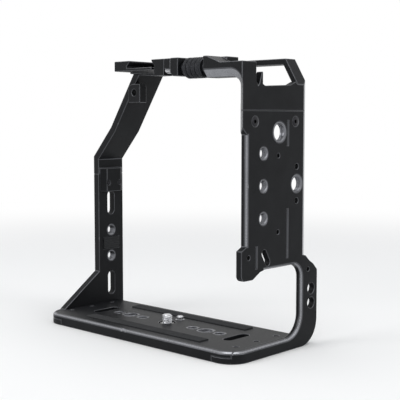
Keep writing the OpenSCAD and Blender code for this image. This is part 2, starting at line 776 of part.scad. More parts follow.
// Front-facing tab at the front edge of the right shoulder
module right_ear() {
    along_y(strap_y - ear_step, ear_d) polygon(concat(
        [[ear_x + ear_w, ear_z], [ear_x + ear_w, ear_z + ear_h]],
        arc(ear_x + ear_r, ear_z + ear_h - ear_r, ear_r, 90, 180, 4), [[ear_x, ear_z]]));
}

module top_frame() {
    color("#1d1e20") difference() {
        union() {
            along_x(plate_in_x, side_t) top_side_outline();
            along_y(plate_y, bar_d) front_bar_outline();
            along_y(rail_y, rail_w) polygon(strip([[near_x, shoulder_z - over], [near_x, shoulder_z],
                [near_x - shoulder_run, frame_h], [0, frame_h]], rail_t));
            along_y(strap_y, strap_w) polygon(strip([[-strap_bend_x + strap_root, frame_h],
                [-strap_bend_x, frame_h], right_mid, [far_x, right_low_z], [far_x, right_seam_z]], strap_t));
            right_ear();
            seam_tongues();
            far_cheek();
            translate([cheek_end_x, bar_back_y, bridge_low])
                cube([cheek_near_x + cheek_root - cheek_end_x, bridge_d, bridge_h]);
            translate([seat_out_x, seat_y, plate_low])
                cube([cheek_end_x - seat_out_x, seat_l + seat_wall, plate_h]);
            translate([-plate_x, seat_back_y, plate_low])
                cube([2 * plate_x, upper_rear_y - seat_back_y, plate_h]);
        }
        along_y(seat_y - over, seat_l + over) seat_outline();
        translate([rail_seat_w / 2 - move_gap, seat_y - over, seat_floor])
            cube([jaw_w + jaw_travel + 2 * move_gap, jaw_l + 2 * move_gap + over, plate_h]);
        translate([rail_seat_w / 2 - move_gap, seat_y - over, plate_low - over])
            cube([jaw_w + jaw_travel + 2 * move_gap, jaw_boss_w + 2 * move_gap + over, plate_h]);
        front_chamfer();
        plate_chamfers();
        rod_x(cheek_far_x, wheel_y, wheel_z, wheel_d + 2 * move_gap, cheek_near_x - cheek_far_x);
        rod_x(jaw_x, wheel_y, wheel_z, clamp_screw_d + 2 * run_gap, cheek_near_x + cheek_root - jaw_x);
        for (y = guide_y)
            rod_x(jaw_x, y, guide_z, guide_d + 2 * run_gap, jaw_w + pin_reach + 2 * jaw_travel);
        at_left_seam() rod_z(0, 0, 0, joint_screw_d + 2 * fit_gap, side_t + seam_tongue_t + over);
        at_right_seam() rod_z(0, 0, 0, joint_screw_d + 2 * fit_gap, strap_t + seam_tongue_t + over);
        for (x = top_thread_x)
            rod_z(x, top_thread_y, plate_low - over, quarter_d + 2 * insert_wall, plate_h + 2 * over);
        for (s = [-1, 1]) translate([s * top_window_x, window_y, plate_low - over])
            slot(top_window_l, top_window_w, plate_h + 2 * over);
        translate([shoe_x - shoe_w / 2, shoe_y, frame_h - shoe_h])
            cube([shoe_w, shoe_l + over, shoe_h + over]);
        for (p = shoe_screws) rod_z(p[0], p[1], plate_low - over, shoe_screw_d + 2 * fit_gap, plate_h);
        rod_y(ear_x + ear_w / 2, strap_y - ear_step - over, ear_z + ear_hole_rise, ear_hole,
            ear_d + 2 * over);
        top_pad_recess();
    }
}

// ---- Handle clamp ----
collar_d = 8;
wheel_rings = 3;
wheel_ring_w = 0.8;
wheel_ring_depth = 0.5;
wheel_chamfer = 0.8;
wheel_x = wheel_out_x - wheel_l;
screw_tip_gap = 1.5;
screw_socket = 6;
screw_tip_x = jaw_x + screw_tip_gap;
screw_end_x = cheek_near_x + screw_socket;
cross_pin_d = 1.5;

module thumbwheel() {
    collar = wheel_gap - move_gap;
    color("#2a2c2f") difference() {
        union() {
            rod_x(wheel_x + wheel_chamfer, wheel_y, wheel_z, wheel_d, wheel_l - 2 * wheel_chamfer);
            for (s = [0, 1]) translate([wheel_x + s * wheel_l, wheel_y, wheel_z]) mirror([s, 0, 0])
                rotate([0, 90, 0])
                    cylinder(h = wheel_chamfer, d1 = wheel_d - 2 * wheel_chamfer, d2 = wheel_d,
                        $fn = round_fn);
            rod_x(wheel_x - collar, wheel_y, wheel_z, collar_d, wheel_l + 2 * collar);
        }
        rod_x(wheel_x - wheel_gap, wheel_y, wheel_z, clamp_screw_d + 2 * fit_gap, wheel_l + 2 * wheel_gap);
        for (i = [1 : wheel_rings])
            translate([wheel_x + i * wheel_l / (wheel_rings + 1) - wheel_ring_w / 2, 0, 0]) difference() {
                rod_x(0, wheel_y, wheel_z, wheel_d + over, wheel_ring_w);
                rod_x(-over, wheel_y, wheel_z, wheel_d - 2 * wheel_ring_depth, wheel_ring_w + 2 * over);
            }
        rod_z(cross_pin_x, wheel_y, wheel_z - wheel_d, cross_pin_d + 2 * fit_gap, 2 * wheel_d);
    }
}
cross_pin_x = wheel_x - wheel_gap / 2;
cross_pin_l = collar_d - 2 * move_gap;

module thumbwheel_pin() {
    color("silver") rod_z(cross_pin_x, wheel_y, wheel_z - cross_pin_l / 2, cross_pin_d, cross_pin_l);
}

module clamp_screw() {
    color("silver") difference() {
        rod_x(screw_tip_x, wheel_y, wheel_z, clamp_screw_d, screw_end_x - screw_tip_x);
        rod_z(cross_pin_x, wheel_y, wheel_z - clamp_screw_d, cross_pin_d + 2 * fit_gap, 2 * clamp_screw_d);
    }
}

module clamp_jaw() {
    color("#2a2c2f") difference() {
        union() {
            along_y(jaw_y, jaw_l) polygon([[jaw_x, jaw_low], [jaw_x, seat_floor + seat_step],
                [jaw_x - seat_lip, seat_floor + seat_step + seat_lip], [jaw_x - seat_lip, frame_h],
                [jaw_x + jaw_w, frame_h], [jaw_x + jaw_w, jaw_low]]);
            translate([jaw_x, jaw_y, jaw_boss_low])
                cube([jaw_w, jaw_boss_w, jaw_low + over - jaw_boss_low]);
        }
        rod_x(jaw_x + jaw_wall, wheel_y, wheel_z, clamp_screw_d + 2 * run_gap, jaw_w);
        for (y = guide_y) rod_x(jaw_x + pin_socket, y, guide_z, guide_d + 2 * fit_gap, jaw_w);
    }
}

module jaw_guide_pins() {
    start = pin_socket + jaw_gap;
    color("silver") for (y = guide_y) rod_x(jaw_x + start, y, guide_z, guide_d, jaw_w - start + pin_reach);
}

// ---- Pads, inserts and small fittings ----
side_pad_w = 12;
side_pad_back = 33;
side_pad_end = 15;
side_pad_y = front_y + side_pad_back;
side_pad_z = recess_low + side_pad_end;
side_pad_h = recess_high - recess_low - 2 * side_pad_end;
module side_pad_block(grow) {
    translate([plate_in_x - pad_t + pad_sink, side_pad_y - grow, side_pad_z - grow])
        cube([pad_t, side_pad_w + 2 * grow, side_pad_h + 2 * grow]);
}
module side_pad_recess() { side_pad_block(0); }
module side_pad() { color("#26272a") side_pad_block(-fit_gap); }

strap_pad_w = 14;
strap_pad_h = 8;
strap_pad_z = right_seam_z / 2 - strap_pad_h / 2;
module strap_pad_block(grow) {
    translate([strap_in_x - pad_sink, strap_mid_y - strap_pad_w / 2 - grow, strap_pad_z - grow])
        cube([pad_t, strap_pad_w + 2 * grow, strap_pad_h + 2 * grow]);
}
module strap_pad_recess() { strap_pad_block(0); }
module strap_pad() { color("#26272a") strap_pad_block(-fit_gap); }

top_pad_w = 8;
top_pad_l = 12;
top_pad_back = 10;
top_pad_y = seat_back_y + top_pad_back;
module top_pad_block(grow) {
    translate([-top_pad_w / 2 - grow, top_pad_y - grow, plate_low - pad_t + pad_sink])
        cube([top_pad_w + 2 * grow, top_pad_l + 2 * grow, pad_t]);
}
module top_pad_recess() { top_pad_block(0); }
module top_pad() { color("#26272a") top_pad_block(-fit_gap); }

// A threaded steel sleeve, its axis along Z, from z = 0 upwards
module insert(d, bore, h) {
    difference() {
        cylinder(h = h, d = d + 2 * insert_wall - 2 * fit_gap, $fn = round_fn);
        translate([0, 0, -over]) cylinder(h = h + 2 * over, d = bore, $fn = round_fn);
    }
}
module insert_x(x, y, z, d, bore, l) { translate([x, y, z]) rotate([0, 90, 0]) insert(d, bore, l); }

module side_thread_inserts() {
    color("silver") for (z = thread_z)
        insert_x(plate_in_x, thread_y, z, quarter_d, quarter_bore, side_t);
}
module side_location_insert() {
    color("silver") insert_x(plate_in_x, location_y, mid_z, three_eighths_d, three_eighths_bore, side_t);
}
module top_thread_inserts() {
    color("silver") for (x = top_thread_x)
        translate([x, top_thread_y, plate_low]) insert(quarter_d, quarter_bore, plate_h);
}
module base_thread_inserts() {
    color("silver") for (s = [-1, 1], x = base_thread_x)
        translate([s * x, screw_y, 0]) insert(quarter_d, quarter_bore, base_t);
}
module base_location_inserts() {
    color("silver") for (s = [-1, 1])
        translate([s * base_location_x, screw_y, 0]) insert(three_eighths_d, three_eighths_bore, base_t);
}
module strap_thread_inserts() {
    color("silver") for (z = strap_thread_z)
        insert_x(far_x, strap_mid_y, z, quarter_d, quarter_bore, strap_t);
}

// Steel bushing that takes a push-button sling swivel
bushing_d = 12;
bushing_bore = 9.5;
bushing_back = 39;
bushing_y = front_y + bushing_back;
bushing_z = recess_high + 1;
module strap_bushing_hole() {
    rod_x(plate_in_x - over, bushing_y, bushing_z, bushing_d, side_t + 2 * over);
}
module strap_bushing() {
    color("silver") difference() {
        rod_x(plate_in_x, bushing_y, bushing_z, bushing_d - 2 * fit_gap, side_t);
        rod_x(plate_in_x - over, bushing_y, bushing_z, bushing_bore, side_t + 2 * over);
    }
}

// Sheet-steel accessory shoe, open to the rear
shoe_sheet = 1;
shoe_gap = 12.6;
shoe_screw_d = 2;
shoe_screw_run = 5;
shoe_head = 1.8;
shoe_sink = 0.8;
shoe_screws = [for (s = [-1, 1]) [shoe_x, shoe_y + shoe_l / 2 + s * shoe_screw_run]];
module cold_shoe() {
    half = shoe_w / 2 - fit_gap;
    low = frame_h - shoe_h;
    color("#3a3c40") difference() {
        along_y(shoe_y + fit_gap, shoe_l - fit_gap) translate([shoe_x, 0]) polygon([
            [-half, low], [half, low], [half, frame_h], [shoe_gap / 2, frame_h],
            [shoe_gap / 2, frame_h - shoe_sheet], [half - shoe_sheet, frame_h - shoe_sheet],
            [half - shoe_sheet, low + shoe_sheet], [-half + shoe_sheet, low + shoe_sheet],
            [-half + shoe_sheet, frame_h - shoe_sheet], [-shoe_gap / 2, frame_h - shoe_sheet],
            [-shoe_gap / 2, frame_h], [-half, frame_h]]);
        at_shoe_screws()
            csk_hole(shoe_screw_d, shoe_sheet + over, shoe_screw_d * shoe_head, shoe_sheet * shoe_sink);
    }
}
module at_shoe_screws() {
    for (p = shoe_screws)
        translate([p[0], p[1], frame_h - shoe_h + shoe_sheet]) rotate([180, 0, 0]) children();
}
module cold_shoe_screws() {
    color("silver") at_shoe_screws() csk_screw(shoe_screw_d, shoe_sheet + plate_h - shoe_h - 0.2,
        shoe_screw_d * shoe_head, shoe_sheet * shoe_sink);
}

// ---- Joint screws and dowels ----
module left_seam_screws() { color("silver") at_left_seam() joint_screw(side_t + seam_tongue_t); }
module right_seam_screws() { color("silver") at_right_seam() joint_screw(strap_t + seam_tongue_t); }
module lap_screws() { color("silver") for (s = [-1, 1]) at_laps(s) joint_screw(base_t - lap_screw_gap); }
module lap_dowels() { color("silver") dowels(0); }

top_frame();
left_side_frame();
right_strap();
base_plate();
left_seam_screws();
right_seam_screws();
lap_screws();
lap_dowels();
clamp_jaw();
jaw_guide_pins();
clamp_screw();
thumbwheel();
thumbwheel_pin();
camera_screw();
camera_screw_clip();
d_ring();
camera_locating_pin();
base_pads();
side_pad();
strap_pad();
top_pad();
side_thread_inserts();
side_location_insert();
top_thread_inserts();
base_thread_inserts();
base_location_inserts();
strap_thread_inserts();
strap_bushing();
cold_shoe();
cold_shoe_screws();
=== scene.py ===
"""Looks of a camera cage: a bolted ring of black anodised frames round a tall camera body.

Every size in the classes is in millimetres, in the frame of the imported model:
+X the operator's left, +Y the rear, +Z up, origin under the middle of the base.
"""
import logging
import math
from dataclasses import dataclass, field
from enum import Enum

import bmesh
import bpy
import numpy as np
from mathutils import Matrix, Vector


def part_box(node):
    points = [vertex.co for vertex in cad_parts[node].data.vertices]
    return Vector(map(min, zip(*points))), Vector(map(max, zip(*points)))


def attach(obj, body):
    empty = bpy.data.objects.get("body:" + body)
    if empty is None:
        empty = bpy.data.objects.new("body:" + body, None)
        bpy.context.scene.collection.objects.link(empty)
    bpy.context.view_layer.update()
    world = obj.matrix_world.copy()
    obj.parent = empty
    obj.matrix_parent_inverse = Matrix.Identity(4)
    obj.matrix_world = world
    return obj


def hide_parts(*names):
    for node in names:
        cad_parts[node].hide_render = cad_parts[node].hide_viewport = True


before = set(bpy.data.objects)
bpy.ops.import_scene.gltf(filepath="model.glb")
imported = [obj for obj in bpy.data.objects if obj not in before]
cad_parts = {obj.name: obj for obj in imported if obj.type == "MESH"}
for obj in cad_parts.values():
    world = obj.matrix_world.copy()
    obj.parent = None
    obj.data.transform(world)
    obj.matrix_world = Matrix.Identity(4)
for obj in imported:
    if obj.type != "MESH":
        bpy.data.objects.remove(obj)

log = logging.getLogger("camera_cage")
MM = 0.001
# Points closer than this, in metres, are one point: in a skin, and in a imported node
SKIN_WELD = 1e-7
NODE_WELD = 2e-6
# A face narrower than this, in metres, is dissolved if two of its edges turn by more than this, in radians
SLIVER = 5e-5
NEEDLE_ANGLE = 0.5
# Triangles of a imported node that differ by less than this, in degrees, are one face
FLAT = 0.6
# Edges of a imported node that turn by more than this, in degrees, are sharp, and then are broken
SHARP_FROM = 25.0
BROKEN_FROM = 28.0
BROKEN_FACETS = 2


class Axis(Enum):
    """A direction along an axis of the model: the direction itself, and the side where its turns start."""

    PLUS_X = ((1, 0, 0), (0, 1, 0))
    MINUS_X = ((-1, 0, 0), (0, 0, 1))
    PLUS_Z = ((0, 0, 1), (1, 0, 0))
    MINUS_Z = ((0, 0, -1), (0, 1, 0))

    def basis(self) -> tuple[np.ndarray, np.ndarray, np.ndarray]:
        """The axis and the two directions square to it, right-handed."""
        along, side = (np.array(v, float) for v in self.value)
        return along, side, np.cross(along, side)


# ---------------------------------------------------------------- finishes


def linear_rgba(hex_colour: str) -> tuple[float, float, float, float]:
    """An sRGB hex colour as linear red, green, blue and an alpha of 1.

    Args:
        hex_colour: six hex digits after a hash sign.

    Returns:
        Each channel c becomes c / 12.92 up to 0.04045, and ((c + 0.055) / 1.055) ** 2.4 above it.
    """
    c = np.array([int(hex_colour[i:i + 2], 16) for i in (1, 3, 5)]) / 255.0
    lin = np.where(c <= 0.04045, c / 12.92, ((c + 0.055) / 1.055) ** 2.4)
    return (*lin.tolist(), 1.0)


def per_metre(size_mm: float) -> float:
    """The scale of a noise whose grains are size_mm wide."""
    return 1.0 / (size_mm * MM)


def add_node(tree: bpy.types.NodeTree, kind: str, inputs: dict | None = None, **settings) -> bpy.types.Node:
    """Adds a shader node with its settings, values and links.

    Args:
        tree: the node tree.
        kind: the node's type name.
        inputs: for each input, by name or number, a value or the output that it is linked to.
        **settings: properties of the node itself.

    Returns:
        The new node.
    """
    node = tree.nodes.new(kind)
    for key, value in settings.items():
        setattr(node, key, value)
    for key, value in (inputs or {}).items():
        if isinstance(value, bpy.types.NodeSocket):
            tree.links.new(value, node.inputs[key])
        else:
            node.inputs[key].default_value = value
    return node


def noise(tree: bpy.types.NodeTree, place: bpy.types.NodeSocket, size_mm: float, detail: float,
          roughness: float) -> bpy.types.NodeSocket:
    """Adds a noise whose grains are size_mm wide, and returns its value."""
    return add_node(tree, "ShaderNodeTexNoise",
                    {"Vector": place, "Scale": per_metre(size_mm), "Detail": detail,
                     "Roughness": roughness}).outputs[0]


def tone_mix(tree: bpy.types.NodeTree, share: bpy.types.NodeSocket, first: tuple | bpy.types.NodeSocket,
             second: tuple | bpy.types.NodeSocket) -> bpy.types.NodeSocket:
    """Adds a mix of two colours and returns the result.

    A Mix node keeps a socket of each type under the same names: 6 and 7 are its colours, 2 its result.

    Args:
        tree: the node tree.
        share: how much of the second colour there is, from 0 to 1.
        first: a colour, or the output that it is linked to.
        second: a colour, or the output that it is linked to.

    Returns:
        The mixed colour.
    """
    return add_node(tree, "ShaderNodeMix", {0: share, 6: first, 7: second}, data_type="RGBA").outputs[2]


@dataclass(frozen=True)
class Finish:
    """A surface finish: two close tones, rubbed spots, a gloss between two values, and a fine relief.

    A broad noise times the grain mixes the tones. Where a third noise, of grains a fifth as wide as the
    broad one's, is highest, the surface is rubbed to the worn tone. The relief follows the grain, which may
    be stretched along an axis.
    """

    name: str
    tone: str
    second_tone: str
    metallic: float
    roughness: tuple[float, float]
    drift_mm: float
    grain_mm: float
    relief_mm: float
    stretch: tuple[float, float, float] = (1.0, 1.0, 1.0)
    worn_tone: str = ""
    worn_from: float = 0.62
    worn_band: float = 0.12
    specular: float = 0.5
    ior: float = 1.5

    def material(self) -> bpy.types.Material:
        """The material of this finish, made once."""
        found = bpy.data.materials.get(self.name)
        if found:
            return found
        mat = bpy.data.materials.new(self.name)
        mat.use_nodes = True
        tree = mat.node_tree
        tree.nodes.clear()
        place = add_node(tree, "ShaderNodeTexCoord").outputs["Object"]
        grain_place = add_node(tree, "ShaderNodeMapping",
                               {"Vector": place, "Scale": self.stretch}).outputs[0]
        drift = noise(tree, place, self.drift_mm, 3.0, 0.6)
        grain = noise(tree, grain_place, self.grain_mm, 2.0, 0.7)
        spread = add_node(tree, "ShaderNodeMapRange",
                          {"Value": drift, "From Min": 0.35, "From Max": 0.65}).outputs[0]
        speckle = add_node(tree, "ShaderNodeMath", {0: spread, 1: grain}, operation="MULTIPLY").outputs[0]
        colour = tone_mix(tree, speckle, linear_rgba(self.tone), linear_rgba(self.second_tone))
        if self.worn_tone:
            rub = noise(tree, place, self.drift_mm / 5, 4.0, 0.7)
            worn = add_node(tree, "ShaderNodeMapRange",
                            {"Value": rub, "From Min": self.worn_from,
                             "From Max": self.worn_from + self.worn_band}).outputs[0]
            colour = tone_mix(tree, worn, colour, linear_rgba(self.worn_tone))
        gloss = add_node(tree, "ShaderNodeMapRange",
                         {"Value": grain, "From Min": 0.3, "From Max": 0.7,
                          "To Min": self.roughness[0], "To Max": self.roughness[1]}).outputs[0]
        bump = add_node(tree, "ShaderNodeBump",
                        {"Height": grain, "Strength": 1.0, "Distance": self.relief_mm * MM}).outputs[0]
        shader = add_node(tree, "ShaderNodeBsdfPrincipled",
                          {"Base Color": colour, "Metallic": self.metallic, "Roughness": gloss,
                           "Normal": bump, "IOR": self.ior, "Specular IOR Level": self.specular})
        add_node(tree, "ShaderNodeOutputMaterial", {"Surface": shader.outputs[0]})
        return mat


# Bead-blasted aluminium, dyed black: the dyed oxide swallows most light, and many tiny dents spread the
# rest into a weak sheen. The real grit is about 0.1 mm; it is drawn at 0.45 mm so that it shows.
BLASTED = Finish("black_anodised_aluminium_blasted", "#151618", "#1e1f21", 0.0, (0.4, 0.5), 14.0, 0.45, 0.012,
                 specular=0.1)
# The same aluminium where a cutter broke the edges: smoother, its tones a paler grey as a painted edge
# highlight, and rubbed paler still in places by use.
EDGE_WEAR_AND_PAINTED_HIGHLIGHT = Finish("black_anodised_aluminium_edge_worn_and_painted_highlight", "#48494c", "#56575b", 0.85, (0.26, 0.36), 22.0,
                     0.5, 0.004, worn_tone="#8b8c90")
# Wide chamfers: grey, smooth and a little bright, their grey a painted highlight.
CHAMFER_PAINTED_HIGHLIGHT = Finish("black_anodised_aluminium_chamfer_painted_highlight", "#85868a", "#94959a", 0.9, (0.24, 0.32), 9.0,
                     0.5, 0.004)
# Knurled aluminium, dyed black: glossier than the blasted faces, polished by fingers.
KNURLED = Finish("black_anodised_aluminium_knurled", "#2f3033", "#3b3c40", 0.8, (0.28, 0.4), 6.0, 0.4, 0.008)
# Alloy steel with a hot black oxide: nearly black, slightly oily.
BLACK_OXIDE = Finish("black_oxide_steel", "#242427", "#2f2f33", 0.85, (0.26, 0.38), 5.0, 0.3, 0.006)
# Turned stainless steel: bright, with a fine grain.
STAINLESS = Finish("stainless_steel_turned", "#b9babd", "#cdced1", 1.0, (0.2, 0.32), 6.0, 0.35, 0.004)
# Stainless thread sleeve: duller than the turned screws.
SLEEVE = Finish("stainless_steel_thread_sleeve", "#6c6d71", "#808186", 1.0, (0.3, 0.44), 4.0, 0.3, 0.006)
# Black-plated sheet steel, its grain drawn out along the rolling direction.
SHEET = Finish("black_plated_sheet_steel", "#323337", "#3f4044", 0.85, (0.28, 0.42), 8.0, 0.4, 0.006,
               stretch=(1.0, 0.08, 1.0))
# Silicone rubber, moulded in a matt tool: no gloss, a soft grain.
RUBBER = Finish("silicone_rubber_matt", "#1e1f21", "#2b2c2e", 0.0, (0.75, 0.9), 10.0, 0.5, 0.02, ior=1.41)


class Slot(Enum):
    """The record's material slots."""

    FRAME = "frame_black"
    WHEEL = "wheel_black"
    JOINT = "joint_steel"
    BRIGHT = "bright_steel"
    INSERT = "insert_steel"
    SHOE = "shoe_steel"
    PAD = "pad_rubber"


class Body(Enum):
    """The bodies that pieces ride on."""

    FRAME = "frame"
    WHEEL = "wheel"
    JAW = "jaw"
    SCREW = "screw"
    RING = "ring"


# ---------------------------------------------------------------- surfaces


@dataclass
class Skin:
    """Grids of points, in millimetres, gathered into one mesh."""

    points: list[np.ndarray] = field(default_factory=list)
    faces: list[np.ndarray] = field(default_factory=list)
    count: int = 0

    def add(self, grid: np.ndarray, close_rows: bool = False) -> None:
        """Adds rows of points that close on themselves, and the quads between neighbours.

        Args:
            grid: an array of rows x columns x 3.
            close_rows: joins the last row to the first.
        """
        rows, columns = grid.shape[:2]
        r = np.arange(rows if close_rows else rows - 1)[:, None]
        c = np.arange(columns)[None, :]
        r2, c2 = (r + 1) % rows, (c + 1) % columns
        quads = np.stack(np.broadcast_arrays(r * columns + c, r * columns + c2,
                                             r2 * columns + c2, r2 * columns + c), -1)
        self.faces.append(quads.reshape(-1, 4) + self.count)
        self.points.append(grid.reshape(-1, 3))
        self.count += rows * columns

    def build(self, name: str, smooth_angle: float = 35.0) -> bpy.types.Object:
        """Makes the mesh, welds its seams and poles, and turns its faces outwards.

        Args:
            name: the object's name.
            smooth_angle: edges sharper than this, in degrees, stay sharp.

        Returns:
            The object, at the origin.
        """
        co = (np.concatenate(self.points) * MM).astype(np.float32)
        quads = np.concatenate(self.faces).astype(np.int32)
        mesh = bpy.data.meshes.new(name)
        mesh.vertices.add(len(co))
        mesh.vertices.foreach_set("co", co.ravel())
        mesh.loops.add(quads.size)
        mesh.loops.foreach_set("vertex_index", quads.ravel())
        mesh.polygons.add(len(quads))
        mesh.polygons.foreach_set("loop_start", np.arange(len(quads), dtype=np.int32) * 4)
        mesh.update(calc_edges=True)
        welded(mesh, SKIN_WELD)
        smoothed(mesh, smooth_angle)
        obj = bpy.data.objects.new(name, mesh)
        bpy.context.scene.collection.objects.link(obj)
        return obj


def welded(mesh: bpy.types.Mesh, distance: float) -> None:
    """Merges points closer than distance, drops faces of no area and turns the rest outwards."""
    bm = bmesh.new()
    bm.from_mesh(mesh)
    bmesh.ops.remove_doubles(bm, verts=bm.verts, dist=distance)
    bmesh.ops.dissolve_degenerate(bm, edges=bm.edges, dist=distance)
    bmesh.ops.recalc_face_normals(bm, faces=bm.faces)
    bm.to_mesh(mesh)
    bm.free()


def smoothed(mesh: bpy.types.Mesh, angle: float) -> None:
    """Shades the mesh smooth, apart from edges sharper than angle degrees."""
    mesh.polygons.foreach_set("use_smooth", np.ones(len(mesh.polygons), bool))
    bm = bmesh.new()
    bm.from_mesh(mesh)
    for edge in bm.edges:
        edge.smooth = edge.is_manifold and edge.calc_face_angle(math.pi) < math.radians(angle)
    bm.to_mesh(mesh)
    bm.free()


def rings(along: np.ndarray, radius: np.ndarray, centre: tuple, axis: Axis, turns: int = 48) -> np.ndarray:
    """Rings of points round an axis.

    A point is centre + along * axis + radius * (cos t, sin t) in the plane square to the axis.

    Args:
        along: distances along the axis, one for each row or one for each point.
        radius: radii, of the same shape or one that broadcasts to it.
        centre: the point that distances start from.
        axis: the axis of the rings.
        turns: points in each ring.

    Returns:
        An array of rows x turns x 3.
    """
    ahead, side, up = axis.basis()
    t = np.linspace(0, 2 * math.pi, turns, endpoint=False)
    a = np.asarray(along, float)
    a = a[:, None] if a.ndim == 1 else a
    r = np.asarray(radius, float)
    r = r[:, None] if r.ndim == 1 else r
    a, r = np.broadcast_arrays(a + 0 * t, r + 0 * t)
    return (np.array(centre, float) + a[..., None] * ahead
            + (r * np.cos(t))[..., None] * side + (r * np.sin(t))[..., None] * up)


def triangle_wave(phase: np.ndarray) -> np.ndarray:
    """Rises from 0 to 1 over the first half of each unit of phase and falls over the second."""
    return 1.0 - np.abs(2.0 * (phase % 1.0) - 1.0)


def thread_radius(along: np.ndarray, turns: int, pitch: float, minor: float, major: float,
                  start: float, end: float) -> np.ndarray:
    """Radius of a screw thread: a triangle wave of distance / pitch minus the turn, cut flat at both ends.

    Args:
        along: distances along the axis, one for each row.
        turns: points round the axis.
        pitch: distance between two threads.
        minor: radius of the roots.
        major: radius of the crests.
        start: where the thread begins to run in.
        end: where it has run out.

    Returns:
        An array of rows x turns.
    """
    turn = np.linspace(0, 1, turns, endpoint=False)[None, :]
    cut = 0.125
    wave = np.clip((1 + 2 * cut) * triangle_wave(along[:, None] / pitch - turn) - cut, 0, 1)
    fade = np.clip(np.minimum(along - start, end - along) / (0.6 * pitch), 0, 1)[:, None]
    return minor + (major - minor) * wave * fade


def hexagon_radius(turns: int, across_corners: float) -> np.ndarray:
    """Distance from the middle of a hexagon to its edge: that of a flat over the cosine from its middle."""
    t = np.linspace(0, 2 * math.pi, turns, endpoint=False)
    flat = across_corners / 2 * math.cos(math.pi / 6)
    return flat / np.cos((t + math.pi / 6) % (math.pi / 3) - math.pi / 6)


def socket_screw(skin: Skin, head: tuple, axis: Axis, d: float, length: float, head_d: float,
                 head_h: float) -> None:
    """Adds a countersunk screw with a hexagon socket; its head's face is at head and its tip lies along axis.

    The skin runs from the socket's drill point up its six walls, over the head's face and rim, down the cone
    and the shank to the tip.
    """
    turns, lip, tip = 48, 0.12, 0.3
    hexagon = hexagon_radius(turns, d * 0.72)
    one = np.ones(turns)
    rows = [(head_h * 0.85, 0 * one), (head_h * 0.7, hexagon * 0.98), (lip, hexagon), (0.0, hexagon * 1.06),
            (0.0, (head_d / 2 - lip) * one), (0.07, head_d / 2 * one), (0.16, head_d / 2 * one - 0.04),
            (head_h, d / 2 * one), (length - tip, d / 2 * one), (length, (d / 2 - tip) * one),
            (length, 0 * one)]
    skin.add(rings(np.array([r[0] for r in rows]), np.array([r[1] for r in rows]), head, axis, turns))


def plain_pin(skin: Skin, start: tuple, axis: Axis, d: float, length: float, chamfer: float = 0.2) -> None:
    """Adds a round pin with chamfered ends, from start along axis."""
    r = d / 2
    skin.add(rings(np.array([0, 0, chamfer, length - chamfer, length, length]),
                   np.array([0, r - chamfer, r, r, r - chamfer, 0]), start, axis))


@dataclass(frozen=True)
class ThreadSize:
    """A tapped sleeve's outer radius, its thread's two radii and its pitch."""

    outer_r: float
    major_r: float
    minor_r: float
    pitch: float


QUARTER_INCH = ThreadSize(3.745, 3.175, 2.6, 1.27)
THREE_EIGHTHS = ThreadSize(5.335, 4.765, 4.0, 1.5875)


def thread_sleeve(skin: Skin, start: tuple, axis: Axis, size: ThreadSize, length: float) -> None:
    """Adds a tapped sleeve: a plain outside, chamfered mouths and a thread cut into its bore.

    The skin is a closed loop of rows: up the outside, over the end, down the threaded bore and back.
    """
    turns, mouth, chamfer = 48, 0.35, 0.1
    z = np.linspace(mouth, length - mouth, int(length / size.pitch * 10))
    bore = thread_radius(z, turns, size.pitch, size.minor_r, size.major_r, -1.0, length + 1.0)
    lip, outer_r = size.major_r + 0.05, size.outer_r
    outside = np.array([[0.0, outer_r - chamfer], [chamfer, outer_r], [length - chamfer, outer_r],
                        [length, outer_r - chamfer], [length, lip]])
    along = np.concatenate([outside[:, 0], z[::-1], [0.0]])
    radius = np.concatenate([np.repeat(outside[:, 1:], turns, 1), bore[::-1], np.full((1, turns), lip)])
    skin.add(rings(along, radius, start, axis, turns), close_rows=True)


def swept_tube(path: np.ndarray, radius: float, sides: int = 20) -> np.ndarray:
    """Rings of a round wire that follows a closed path in a level plane.

    A ring is p + r cos(a) * side + r sin(a) * up, where side is level and square to the path.

    Args:
        path: points of the closed path.
        radius: the wire's radius.
        sides: points in each ring.

    Returns:
        An array of path points x sides x 3.
    """
    ahead = np.roll(path, -1, 0) - np.roll(path, 1, 0)
    ahead /= np.linalg.norm(ahead, axis=1, keepdims=True)
    up = np.array([0.0, 0.0, 1.0])
    side = np.cross(up, ahead)
    a = np.linspace(0, 2 * math.pi, sides, endpoint=False)
    return path[:, None, :] + radius * (np.cos(a)[None, :, None] * side[:, None, :]
                                        + np.sin(a)[None, :, None] * up)


def is_sliver(face: bmesh.types.BMFace) -> bool:
    """Whether a face is a needle between two sharp edges, narrower than a sliver's width."""
    sharp = sum(edge.is_manifold and edge.calc_face_angle(0.0) > NEEDLE_ANGLE for edge in face.edges)
    return sharp > 1 and 4 * face.calc_area() < SLIVER * face.calc_perimeter()


